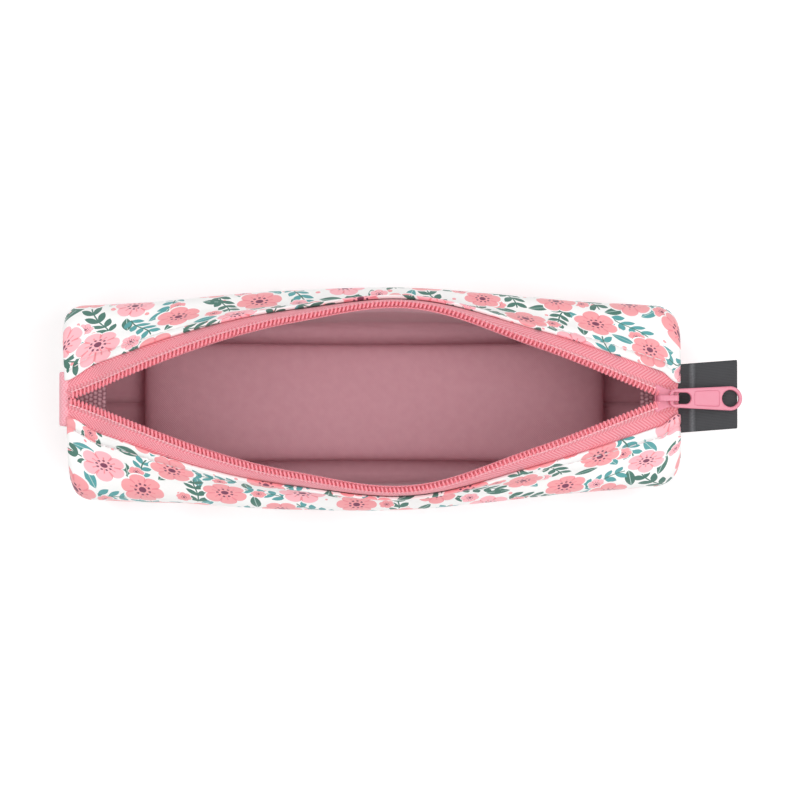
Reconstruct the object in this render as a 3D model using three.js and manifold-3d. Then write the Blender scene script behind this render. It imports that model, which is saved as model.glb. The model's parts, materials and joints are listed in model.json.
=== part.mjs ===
// Insulated zip case for injection pens: a soft box with a printed outside, foam walls, a pink lining,
// a cold pack on the floor and a zip mouth, modelled with the mouth open.
// Millimetres. The origin is the centre of the base, +X points to the slider end and +Z is up.
import * as THREE from 'three';
import { mergeVertices } from 'three/addons/utils/BufferGeometryUtils.js';
import Module from 'manifold-3d';

const wasm = await Module();
wasm.setup();

// Box
const BODY_LENGTH = 216;
const BODY_WIDTH = 66;
const BODY_HEIGHT = 62;
const MIDDLE_BOW = 5;
const BASE_BOW_SHARE = 0.3;
const BASE_RADIUS = 9;
const TOP_RADIUS = 9;
const PLAN_RADIUS = 8.7;

// Layers
const OUTER_THICKNESS = 1;
const FOAM_THICKNESS = 3;
const LINING_THICKNESS = 0.6;
const LAYER_GAP = 0.3;

// Mouth: each flap leans about a line on its wall, FOLD_DROP below the top
const FOLD_DROP = 15;
const FOLD_Y = 34;
const BEND_START = 2;
const BEND_LENGTH = 30;
const MOUTH_HALF_WIDTH = 29.5;
const MOUTH_LEFT_INSET = 1.5;
const MOUTH_RIGHT_INSET = 4.5;
const MOUTH_POINT_POWER = 1.1;
const CLOSED_SAG = 3;
const SAG_RAMP = 6;

// Zip
const ROW_WIDTH = 2.2;
const ROW_MESH = 0.9;
const ROOT_WIDTH = 0.75;
const ROW_TOP = 0.7;
const ROW_BOTTOM = -1;
const TOOTH_PITCH = 1.4;
const TOOTH_ROOT_WIDTH = 0.56;
const TOOTH_TIP_WIDTH = 0.42;
const TAPE_THICKNESS = 0.6;
const TAPE_OVERHANG = 0.9;
const TAPE_SHOWN = 7;
const TAPE_HIDDEN = 5.4;

// Slider
const SLIDER_LENGTH = 8.2;
const SLIDER_TRAVEL = 194;
const SLIDER_END_CLEARANCE = 0.4;
const SLIDER_MOUTH_WIDTH = 9.6;
const SLIDER_TAIL_WIDTH = 5.8;
const SLIDER_PLATE = 1;
const SLIDER_CEILING = 1.9;
const SLIDER_FLOOR = -2.4;
const SLIDER_FLANGE_WIDTH = 0.8;
const SLIDER_FLANGE_BOTTOM = 0.1;
const DIVIDER_WIDTH = 1.4;
const DIVIDER_LENGTH = 2.8;
const DIVIDER_SHOULDER = 0.5;
const CORNER_ROUND = 1;

// Bridge and pull
const BRIDGE_WIDTH = 2;
const BRIDGE_THICKNESS = 1.1;
const PULL_THICKNESS = 1.6;
const PULL_BAR = 1.6;
const PULL_LENGTH = 26;
const PULL_END_WIDTH = 8.5;
const PULL_BAR_WIDTH = 6.6;
const PULL_WINDOW_LENGTH = 6.4;
const PULL_WINDOW_WIDTH = 4;
const PULL_NEAR_ROUND = 2.6;
const PULL_RECESS_RIM = 1.2;
const PULL_RECESS_DEPTH = 0.35;
const PULL_RECESS_MARGIN = 0.9;
const PULL_HOLE_RADIUS = 3;
const PULL_EDGE = 0.25;
const PULL_DROOP_DEG = 8;
const PIVOT_CLEARANCE = 0.3;

// Sewn-in loops
const LABEL_LENGTH = 18.5;
const LABEL_WIDTH = 25;
const LABEL_PLY = 0.55;
const LABEL_DROP = 0.6;
const LABEL_TURN_DEG = 4.4;
const TAB_LENGTH = 20;
const TAB_WIDTH = 19;
const TAB_PLY = 0.9;
const TAB_DROP = 1;

// Floor pack and bindings
const PACK_LENGTH = 160;
const PACK_WIDTH = 42;
const PACK_THICKNESS = 9;
const SLEEVE_THICKNESS = 0.6;
const SLEEVE_MARGIN = 4;
const BINDING_WIDTH = 8;
const BINDING_SPAN = 40;
const BINDING_THICKNESS = 0.9;
const BINDING_SLOPE_DEG = 22;

// Sampling
const FLAP_HALF_STATIONS = 10;
const WRAP_HALF_STATIONS = 3;
const CORNER_STEPS = 3;
const ROUND_STEPS = 4;
const PULL_STEPS = 10;
const FOLD_STEPS = 3;

// Derived places
const HALF_LENGTH = BODY_LENGTH / 2;
const FOAM_DEPTH = OUTER_THICKNESS + LAYER_GAP;
const LINING_DEPTH = FOAM_DEPTH + FOAM_THICKNESS + LAYER_GAP;
const WALL_DEPTH = LINING_DEPTH + LINING_THICKNESS;
const INNER_DEPTH = WALL_DEPTH + LAYER_GAP;
const LAYER_END = HALF_LENGTH - FOAM_DEPTH;
const END_FOAM_INSIDE = LAYER_END - FOAM_THICKNESS;
const LINING_END = END_FOAM_INSIDE - LAYER_GAP;
const END_LINING_INSIDE = LINING_END - LAYER_GAP - LINING_THICKNESS;
const FOLD_Z = BODY_HEIGHT - FOLD_DROP;
const ENGAGED_Y = (ROW_WIDTH - ROW_MESH) / 2;
const ROW_HALF = ROW_WIDTH / 2;
const FABRIC_EDGE = ROW_HALF + TAPE_SHOWN;
const TAPE_DEPTH = OUTER_THICKNESS + LAYER_GAP;
const TAPE_BACK = FABRIC_EDGE + TAPE_HIDDEN;
const FOAM_EDGE = TAPE_BACK + LAYER_GAP * 3;
const LINING_TURN = FOAM_EDGE - LAYER_GAP * 1.5;
const LINING_RISE = LINING_TURN - TAPE_HIDDEN / 2;
const LINING_EDGE_DEPTH = TAPE_DEPTH + TAPE_THICKNESS + LAYER_GAP;
const MOUTH_LEFT = -HALF_LENGTH + MOUTH_LEFT_INSET;
const MOUTH_RIGHT = HALF_LENGTH - MOUTH_RIGHT_INSET;
const SLIDER_TAIL = HALF_LENGTH - OUTER_THICKNESS - SLIDER_END_CLEARANCE;
const SLIDER_MOUTH = SLIDER_TAIL - SLIDER_LENGTH;
const CLOSED_TAIL = SLIDER_TAIL - SLIDER_TRAVEL;
const CLOSED_MOUTH = SLIDER_MOUTH - SLIDER_TRAVEL;
const PIVOT_RADIUS = Math.hypot(PULL_BAR, PULL_THICKNESS) / 2;
const PLATE_TOP = BODY_HEIGHT + SLIDER_CEILING + SLIDER_PLATE;
const PIVOT_X = SLIDER_TAIL - BRIDGE_THICKNESS - PIVOT_CLEARANCE - PIVOT_RADIUS;
const PIVOT_Z = PLATE_TOP + PIVOT_CLEARANCE + PIVOT_RADIUS;

const COLOURS = {
  print: 0xf6ece9, foam: 0xe9e6df, lining: 0xc98a98, binding: 0xd08f9c, gel: 0xbfd9e6,
  tape: 0xe58c98, teeth: 0xe27f8e, paint: 0xe78f9e, tab: 0xe58c98, label: 0x2f3238,
};

const insulinCase = new THREE.Group();

function addPart(name, geometry, colour, roughness = 0.85, metalness = 0) {
  const material = new THREE.MeshStandardMaterial({ color: colour, roughness, metalness });
  const mesh = new THREE.Mesh(geometry, material);
  mesh.name = name;
  insulinCase.add(mesh);
  return mesh;
}

function smoothstep(value) {
  return THREE.MathUtils.smoothstep(value, 0, 1);
}

// Outline of the box

// Half-width of the outer surface at a length x and a height z
function halfWidth(x, z) {
  const past = Math.max(0, Math.abs(x) - (HALF_LENGTH - PLAN_RADIUS));
  const corner = PLAN_RADIUS - Math.sqrt(Math.max(0, PLAN_RADIUS ** 2 - past ** 2));
  const bow = MIDDLE_BOW * Math.cos((Math.PI * x) / BODY_LENGTH) ** 2;
  const share = BASE_BOW_SHARE + (1 - BASE_BOW_SHARE) * smoothstep(z / FOLD_Z);
  return BODY_WIDTH / 2 - corner + bow * share;
}

// Stations along X up to both ends, closer together near the ends and round the plan corners
function stations(end, halfCount) {
  const straight = HALF_LENGTH - PLAN_RADIUS;
  const half = [];
  for (let k = 0; k <= halfCount; k += 1) {
    half.push(straight * Math.sin((Math.PI / 2) * (k / halfCount)));
  }
  for (let k = 1; k <= CORNER_STEPS; k += 1) {
    half.push(straight + PLAN_RADIUS * Math.sin((Math.PI / 2) * (k / (CORNER_STEPS + 1))));
  }
  const kept = half.filter((x) => x < end - LAYER_GAP);
  return [...kept.slice(1).map((x) => -x), -end, ...kept, end].sort((a, b) => a - b);
}

// Closed solid through rings of [y, z] points, one ring at each station along X. The second half of a
// ring runs back beside the first, and its quads are split the same way, so nested layers stay parallel.
function loft(xs, sectionAt) {
  const sections = xs.map((x) => sectionAt(x).map(([y, z]) => new THREE.Vector2(y, z)));
  if (THREE.ShapeUtils.isClockWise(sections[0])) sections.forEach((ring) => ring.reverse());
  const count = sections[0].length;
  const positions = sections.flatMap((ring, r) => ring.flatMap((p) => [xs[r], p.x, p.y]));
  const indices = [];
  for (let r = 0; r + 1 < xs.length; r += 1) {
    for (let k = 0; k < count; k += 1) {
      const a = r * count + k;
      const b = r * count + ((k + 1) % count);
      if (k < count / 2) indices.push(a, b, b + count, a, b + count, a + count);
      else indices.push(a, b, a + count, b, b + count, a + count);
    }
  }
  const cap = (ring, first, facesPlusX) => {
    THREE.ShapeUtils.triangulateShape(ring, []).forEach(([i, j, k]) => {
      const area = THREE.ShapeUtils.area([ring[i], ring[j], ring[k]]);
      const forward = (area > 0) === facesPlusX;
      indices.push(first + i, first + (forward ? j : k), first + (forward ? k : j));
    });
  };
  cap(sections[0], 0, false);
  cap(sections[xs.length - 1], (xs.length - 1) * count, true);
  const geometry = new THREE.BufferGeometry();
  geometry.setAttribute('position', new THREE.Float32BufferAttribute(positions, 3));
  geometry.setIndex(indices);
  return geometry;
}

function asSolid(geometry) {
  const bare = geometry.clone();
  bare.deleteAttribute('normal');
  bare.deleteAttribute('uv');
  const merged = mergeVertices(bare, 1e-4);
  const vertProperties = new Float32Array(merged.attributes.position.array);
  const triVerts = new Uint32Array(merged.index.array);
  return new wasm.Manifold(new wasm.Mesh({ numProp: 3, vertProperties, triVerts }));
}

function asGeometry(solid) {
  const mesh = solid.getMesh();
  const geometry = new THREE.BufferGeometry();
  geometry.setAttribute('position', new THREE.Float32BufferAttribute(mesh.vertProperties, 3));
  geometry.setIndex(Array.from(mesh.triVerts));
  return geometry;
}

// Walls and base

// U-shaped line at one depth under the outer surface, from the back fold line round to the front one
function wrapLine(x, depth) {
  const base = halfWidth(x, 0) - depth;
  const radius = BASE_RADIUS - depth;
  const half = [[halfWidth(x, FOLD_Z) - depth, FOLD_Z - LAYER_GAP / 2]];
  half.push([halfWidth(x, FOLD_Z / 2) - depth, FOLD_Z / 2]);
  for (let k = 0; k <= CORNER_STEPS; k += 1) {
    const angle = (Math.PI / 2) * (k / CORNER_STEPS);
    half.push([base - radius * (1 - Math.cos(angle)), depth + radius * (1 - Math.sin(angle))]);
  }
  const mirrored = half.map(([y, z]) => [-y, z]).reverse();
  return [...half, ...mirrored];
}

function wrapLayer(name, depth, thickness, end, colour) {
  const section = (x) => [...wrapLine(x, depth), ...wrapLine(x, depth + thickness).reverse()];
  return addPart(name, loft(stations(end, WRAP_HALF_STATIONS), section), colour);
}

wrapLayer('outer_wrap', 0, OUTER_THICKNESS, LAYER_END, COLOURS.print);
wrapLayer('wrap_insulation', FOAM_DEPTH, FOAM_THICKNESS, LAYER_END, COLOURS.foam);
wrapLayer('lining_wrap', LINING_DEPTH, LINING_THICKNESS, LINING_END, COLOURS.lining);

// Ends

// Rounded outline of an end layer: corner radii shrink with the depth, the top stays at its own height
function endOutline(x, depth, top) {
  const half = halfWidth(x, 0) - depth;
  const lower = BASE_RADIUS - depth;
  const upper = Math.max(TOP_RADIUS - depth, LAYER_GAP);
  const right = [];
  for (let k = 0; k <= CORNER_STEPS; k += 1) {
    const angle = (Math.PI / 2) * (k / CORNER_STEPS);
    right.push([half - lower * (1 - Math.sin(angle)), depth + lower * (1 - Math.cos(angle))]);
  }
  for (let k = 0; k <= CORNER_STEPS; k += 1) {
    const angle = (Math.PI / 2) * (k / CORNER_STEPS);
    right.push([half - upper * (1 - Math.cos(angle)), top - upper * (1 - Math.sin(angle))]);
  }
  return [...right, ...right.map(([y, z]) => [-y, z]).reverse()];
}

function endLayer(name, side, inside, outside, depth, top, colour) {
  const ends = [side * inside, side * outside].sort((a, b) => a - b);
  return addPart(name, loft(ends, (x) => endOutline(x, depth, top)), colour);
}

const PANEL_RIM = HALF_LENGTH - OUTER_THICKNESS;
const END_LAYER_TOP = BODY_HEIGHT - INNER_DEPTH;

function endPanel(name, side) {
  const rimShare = 0.5;
  const ends = [side * PANEL_RIM, side * (HALF_LENGTH - OUTER_THICKNESS * rimShare), side * HALF_LENGTH];
  const inset = (x) => (Math.abs(x) > PANEL_RIM + OUTER_THICKNESS * rimShare ? OUTER_THICKNESS : 0);
  const section = (x) => endOutline(side * PANEL_RIM, inset(x), BODY_HEIGHT - inset(x));
  return addPart(name, loft(ends.sort((a, b) => a - b), section), COLOURS.print);
}

// Woven binding along the top of an end lining: a strip that slopes in and down, under the zip's end
function seamBinding(name, side) {
  const slope = THREE.MathUtils.degToRad(BINDING_SLOPE_DEG);
  const half = BINDING_THICKNESS / 2;
  const shape = new THREE.Shape();
  shape.moveTo(0, -half);
  shape.lineTo(0, half);
  shape.lineTo(-BINDING_WIDTH, half);
  shape.lineTo(-BINDING_WIDTH, -half);
  shape.closePath();
  const strip = extruded(shape, -BINDING_SPAN / 2, BINDING_SPAN / 2).rotateX(Math.PI / 2).rotateY(-slope);
  const mesh = addPart(name, strip, COLOURS.binding);
  mesh.position.set(side * (END_LINING_INSIDE - LAYER_GAP - half), 0, END_LAYER_TOP - half);
  mesh.rotation.z = side > 0 ? 0 : Math.PI;
  return mesh;
}

for (const [word, side] of [['left', -1], ['right', 1]]) {
  endPanel(`${word}_end_panel`, side);
  endLayer(`${word}_end_insulation`, side, END_FOAM_INSIDE, LAYER_END, LINING_DEPTH, END_LAYER_TOP,
    COLOURS.foam);
  endLayer(`${word}_end_lining`, side, END_LINING_INSIDE, LINING_END - LAYER_GAP, INNER_DEPTH,
    END_LAYER_TOP, COLOURS.lining);
  seamBinding(`${word}_seam_binding`, side);
}

// Mouth

// Distance of a tooth row from the centre line with the zip open: a lens with pointed ends
function openY(x) {
  const along = THREE.MathUtils.clamp((x - MOUTH_LEFT) / (MOUTH_RIGHT - MOUTH_LEFT), 0, 1);
  const rise = Math.sin(Math.PI * along) ** MOUTH_POINT_POWER;
  return ENGAGED_Y + (MOUTH_HALF_WIDTH - ENGAGED_Y) * rise;
}

// The same with the zip closed: meshed, but parted round the slider's divider at the left end
function closedY(x) {
  const parted = (DIVIDER_WIDTH + ROW_MESH) / 2 + LAYER_GAP;
  const before = smoothstep((x - MOUTH_LEFT) / (CLOSED_MOUTH - MOUTH_LEFT));
  const after = smoothstep((CLOSED_TAIL - x) / SLIDER_LENGTH);
  return ENGAGED_Y + parted * Math.min(before, after);
}

// Height of the closed zip line above the top of the box: it sags between the ends
function closedRise(x) {
  const right = smoothstep((MOUTH_RIGHT + SAG_RAMP / 6 - x) / SAG_RAMP);
  const left = smoothstep((x - CLOSED_TAIL) / SAG_RAMP);
  return -CLOSED_SAG * Math.min(left, right);
}

// Angle that the tooth row has turned about the fold line, at the length x
function openAngle(x) {
  const reach = FOLD_Y - closedY(x);
  const lift = FOLD_DROP + closedRise(x);
  const radius = Math.hypot(reach, lift);
  const open = Math.acos((FOLD_Y - Math.max(openY(x), closedY(x))) / radius);
  return Math.max(0, open - Math.atan2(lift, reach));
}

// Turns a point [y, z] of the closed half at +Y about the fold line
function turn([y, z], angle) {
  const outward = y - FOLD_Y;
  const up = z - FOLD_Z;
  const cosine = Math.cos(angle);
  const sine = Math.sin(angle);
  return [FOLD_Y + outward * cosine + up * sine, FOLD_Z + up * cosine - outward * sine];
}

// Share of the turn that a closed point takes: none at the fold line, all of it near the zip
function turnShare([y, z]) {
  const radius = Math.hypot(y - FOLD_Y, z - FOLD_Z);
  return smoothstep((radius - BEND_START) / BEND_LENGTH);
}

// Closed top of the half at +Y: height of the surface at the distance y from the centre line
function closedTop(x, y) {
  const start = halfWidth(x, BODY_HEIGHT) - TOP_RADIUS;
  const share = THREE.MathUtils.clamp((start - y) / (start - closedY(x)), 0, 1);
  return BODY_HEIGHT + closedRise(x) * share * share;
}

// Point of a flap layer on the top, at an offset from its tooth row and a depth under the surface
function topPoint(x, offset, depth) {
  const y = closedY(x) + offset;
  const surface = [y, closedTop(x, y)];
  return turn([y, surface[1] - depth], openAngle(x) * turnShare(surface));
}

// Wall and rounded corner of a flap layer, from the fold line up to the top
function cornerPoints(x, depth) {
  const wall = halfWidth(x, FOLD_Z);
  const foot = [wall, FOLD_Z + LAYER_GAP / 2];
  const points = [turn([foot[0] - depth, foot[1]], openAngle(x) * turnShare(foot))];
  const edge = halfWidth(x, BODY_HEIGHT);
  for (let k = 0; k <= CORNER_STEPS; k += 1) {
    const angle = (Math.PI / 2) * (k / CORNER_STEPS);
    const centre = [edge - TOP_RADIUS, BODY_HEIGHT - TOP_RADIUS];
    const at = (radius) => [centre[0] + radius * Math.cos(angle), centre[1] + radius * Math.sin(angle)];
    points.push(turn(at(TOP_RADIUS - depth), openAngle(x) * turnShare(at(TOP_RADIUS))));
  }
  return points;
}

function mirrorY(points, side) {
  return points.map(([y, z]) => [side * y, z]);
}

// Layer of a flap: its corner, then top stops given as [offset from the tooth row, depth]
function flapLayer(name, side, end, thickness, depth, stops, colour) {
  const line = (x, extra) => [
    ...cornerPoints(x, depth + extra),
    ...stops.map(([offset, stopDepth]) => topPoint(x, offset, stopDepth + extra)),
  ];
  const section = (x) => mirrorY([...line(x, 0), ...line(x, thickness).reverse()], side);
  return addPart(name, loft(stations(end, FLAP_HALF_STATIONS), section), colour);
}

const TAPE_EDGE = TAPE_OVERHANG - ROW_HALF;

function zipTape(name, side) {
  const offsets = [TAPE_BACK, FABRIC_EDGE, TAPE_EDGE];
  const line = (x, depth) => offsets.map((offset) => topPoint(x, offset, depth));
  const low = TAPE_DEPTH + TAPE_THICKNESS;
  const section = (x) => mirrorY([...line(x, TAPE_DEPTH), ...line(x, low).reverse()], side);
  return addPart(name, loft(stations(LAYER_END, FLAP_HALF_STATIONS), section), COLOURS.tape);
}

// Tooth row: a root strip with one tapered tooth to each pitch, all in one comb
function zipTeeth(name, side, phase) {
  const root = ROW_HALF - ROOT_WIDTH;
  const count = Math.floor((2 * LAYER_END) / TOOTH_PITCH - 1);
  const first = LAYER_END - (phase + 0.5) * TOOTH_PITCH;
  const positions = [];
  const indices = [];
  const add = (x, offset) => {
    const index = positions.length / 3;
    for (const height of [ROW_TOP, ROW_BOTTOM]) {
      const [y, z] = topPoint(x, offset, -height);
      positions.push(x, side * y, z);
    }
    return index;
  };
  const face = (a, b, c) => indices.push(...(side > 0 ? [a, c, b] : [a, b, c]));
  const both = (...corners) => {
    for (let k = 1; k + 1 < corners.length; k += 1) {
      face(corners[0], corners[k], corners[k + 1]);
      face(corners[0] + 1, corners[k + 1] + 1, corners[k] + 1);
    }
  };
  const wall = (a, b) => {
    face(a, a + 1, b);
    face(b, a + 1, b + 1);
  };
  const column = (x) => {
    const half = TOOTH_ROOT_WIDTH / 2;
    const tip = TOOTH_TIP_WIDTH / 2;
    return {
      back: add(x + half, ROW_HALF),
      rootRight: add(x + half, root),
      tipRight: add(x + tip, -ROW_HALF),
      tipLeft: add(x - tip, -ROW_HALF),
      rootLeft: add(x - half, root),
    };
  };
  let last = column(first);
  wall(last.back, last.rootRight);
  for (let k = 1; k <= count; k += 1) {
    both(last.rootRight, last.tipRight, last.tipLeft, last.rootLeft);
    wall(last.rootRight, last.tipRight);
    wall(last.tipRight, last.tipLeft);
    wall(last.tipLeft, last.rootLeft);
    if (k === count) break;
    const next = column(first - k * TOOTH_PITCH);
    both(last.back, last.rootRight, last.rootLeft, next.rootRight, next.back);
    wall(last.rootLeft, next.rootRight);
    wall(next.back, last.back);
    last = next;
  }
  const endX = first - (count - 1) * TOOTH_PITCH - TOOTH_ROOT_WIDTH / 2;
  const endBack = add(endX, ROW_HALF);
  both(last.back, last.rootRight, last.rootLeft, endBack);
  wall(last.rootLeft, endBack);
  wall(endBack, last.back);
  const geometry = new THREE.BufferGeometry();
  geometry.setAttribute('position', new THREE.Float32BufferAttribute(positions, 3));
  geometry.setIndex(indices);
  return addPart(name, geometry, COLOURS.teeth, 0.5);
}

const OUTER_STOPS = [[FOAM_EDGE, 0], [FABRIC_EDGE, 0]];
const FOAM_STOPS = [[FOAM_EDGE, FOAM_DEPTH]];
const LINING_STOPS = [
  [LINING_TURN, LINING_DEPTH],
  [LINING_RISE, LINING_EDGE_DEPTH],
  [FABRIC_EDGE + LAYER_GAP, LINING_EDGE_DEPTH],
];

for (const [word, side, phase] of [['front', -1, 0], ['back', 1, 0.5]]) {
  flapLayer(`${word}_flap_outer`, side, LAYER_END, OUTER_THICKNESS, 0, OUTER_STOPS, COLOURS.print);
  flapLayer(`${word}_flap_insulation`, side, LAYER_END, FOAM_THICKNESS, FOAM_DEPTH, FOAM_STOPS,
    COLOURS.foam);
  flapLayer(`${word}_flap_lining`, side, LINING_END, LINING_THICKNESS, LINING_DEPTH, LINING_STOPS,
    COLOURS.lining);
  zipTape(`${word}_zip_tape`, side);
  zipTeeth(`${word}_zip_teeth`, side, phase);
}

// Slider and pull

function extruded(shape, low, high, options = {}) {
  const geometry = new THREE.ExtrudeGeometry(shape, {
    depth: high - low, bevelEnabled: false, curveSegments: ROUND_STEPS, ...options,
  });
  return geometry.translate(0, 0, low);
}

// Shield-shaped plan: wide at the mouth, narrow at the tail, both with rounded corners
function shieldShape() {
  const mouth = SLIDER_MOUTH_WIDTH / 2;
  const tail = SLIDER_TAIL_WIDTH / 2;
  const shape = new THREE.Shape();
  shape.moveTo(SLIDER_MOUTH, -mouth + CORNER_ROUND);
  shape.quadraticCurveTo(SLIDER_MOUTH, -mouth, SLIDER_MOUTH + CORNER_ROUND, -mouth);
  shape.quadraticCurveTo(SLIDER_MOUTH + SLIDER_LENGTH / 2, -tail, SLIDER_TAIL - CORNER_ROUND, -tail);
  shape.quadraticCurveTo(SLIDER_TAIL, -tail, SLIDER_TAIL, -tail + CORNER_ROUND);
  shape.lineTo(SLIDER_TAIL, tail - CORNER_ROUND);
  shape.quadraticCurveTo(SLIDER_TAIL, tail, SLIDER_TAIL - CORNER_ROUND, tail);
  shape.quadraticCurveTo(SLIDER_MOUTH + SLIDER_LENGTH / 2, tail, SLIDER_MOUTH + CORNER_ROUND, mouth);
  shape.quadraticCurveTo(SLIDER_MOUTH, mouth, SLIDER_MOUTH, mouth - CORNER_ROUND);
  shape.closePath();
  return shape;
}

// Divider between the two rows: a wedge with its point towards the tail
function dividerShape() {
  const half = DIVIDER_WIDTH / 2;
  const shape = new THREE.Shape();
  shape.moveTo(SLIDER_MOUTH, -half / 2);
  shape.lineTo(SLIDER_MOUTH + DIVIDER_SHOULDER, -half);
  shape.lineTo(SLIDER_MOUTH + DIVIDER_LENGTH, 0);
  shape.lineTo(SLIDER_MOUTH + DIVIDER_SHOULDER, half);
  shape.lineTo(SLIDER_MOUTH, half / 2);
  shape.closePath();
  return shape;
}

// Arch along X that the pull hangs on, seen from the side
function bridgeShape() {
  const left = SLIDER_MOUTH + DIVIDER_SHOULDER;
  const right = SLIDER_TAIL;
  const inside = PIVOT_Z + PIVOT_RADIUS + PIVOT_CLEARANCE;
  const top = inside + BRIDGE_THICKNESS;
  const foot = PLATE_TOP - SLIDER_PLATE / 2;
  const shape = new THREE.Shape();
  shape.moveTo(left, foot);
  shape.lineTo(left + BRIDGE_THICKNESS, foot);
  shape.lineTo(left + BRIDGE_THICKNESS, inside - BRIDGE_THICKNESS);
  shape.quadraticCurveTo(left + BRIDGE_THICKNESS, inside, left + 2 * BRIDGE_THICKNESS, inside);
  shape.lineTo(right - BRIDGE_THICKNESS, inside);
  shape.lineTo(right - BRIDGE_THICKNESS, foot);
  shape.lineTo(right, foot);
  shape.lineTo(right, top - BRIDGE_THICKNESS);
  shape.quadraticCurveTo(right, top, right - BRIDGE_THICKNESS, top);
  shape.lineTo(left + 2 * BRIDGE_THICKNESS, top);
  shape.quadraticCurveTo(left, top, left, inside - BRIDGE_THICKNESS);
  shape.closePath();
  return shape;
}

function sliderBody() {
  const ceiling = BODY_HEIGHT + SLIDER_CEILING;
  const floor = BODY_HEIGHT + SLIDER_FLOOR;
  const sunk = SLIDER_PLATE / 4;
  const topPlate = asSolid(extruded(shieldShape(), ceiling, PLATE_TOP));
  const lowPlate = asSolid(extruded(shieldShape(), floor - SLIDER_PLATE, floor));
  const divider = asSolid(extruded(dividerShape(), floor - sunk, ceiling + sunk));
  const skirt = asSolid(extruded(shieldShape(), BODY_HEIGHT + SLIDER_FLANGE_BOTTOM, ceiling + sunk));
  const channelShape = new THREE.Shape();
  const mouth = SLIDER_MOUTH_WIDTH / 2 - SLIDER_FLANGE_WIDTH;
  const tail = SLIDER_TAIL_WIDTH / 2 - SLIDER_FLANGE_WIDTH;
  channelShape.moveTo(SLIDER_MOUTH - CORNER_ROUND, -mouth);
  channelShape.lineTo(SLIDER_MOUTH + CORNER_ROUND, -mouth);
  channelShape.quadraticCurveTo(SLIDER_MOUTH + SLIDER_LENGTH / 2, -tail, SLIDER_TAIL + CORNER_ROUND, -tail);
  channelShape.lineTo(SLIDER_TAIL + CORNER_ROUND, tail);
  channelShape.quadraticCurveTo(SLIDER_MOUTH + SLIDER_LENGTH / 2, tail, SLIDER_MOUTH + CORNER_ROUND, mouth);
  channelShape.lineTo(SLIDER_MOUTH - CORNER_ROUND, mouth);
  channelShape.closePath();
  const channel = asSolid(extruded(channelShape, floor, ceiling));
  const arch = extruded(bridgeShape(), -BRIDGE_WIDTH / 2, BRIDGE_WIDTH / 2).rotateX(Math.PI / 2);
  const shell = topPlate.add(skirt).subtract(channel).add(lowPlate).add(divider).add(asSolid(arch));
  return addPart('slider_body', asGeometry(shell), COLOURS.paint, 0.4, 0.2);
}

// Closed shape through corners, each rounded off from a set distance before it
function roundedShape(corners, round) {
  const shape = new THREE.Shape();
  corners.forEach((corner, k) => {
    const before = corners[(k + corners.length - 1) % corners.length];
    const after = corners[(k + 1) % corners.length];
    const start = corner.clone().lerp(before, round / corner.distanceTo(before));
    const end = corner.clone().lerp(after, round / corner.distanceTo(after));
    if (k === 0) shape.moveTo(start.x, start.y);
    else shape.lineTo(start.x, start.y);
    shape.quadraticCurveTo(corner.x, corner.y, end.x, end.y);
  });
  shape.closePath();
  return shape;
}

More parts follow.
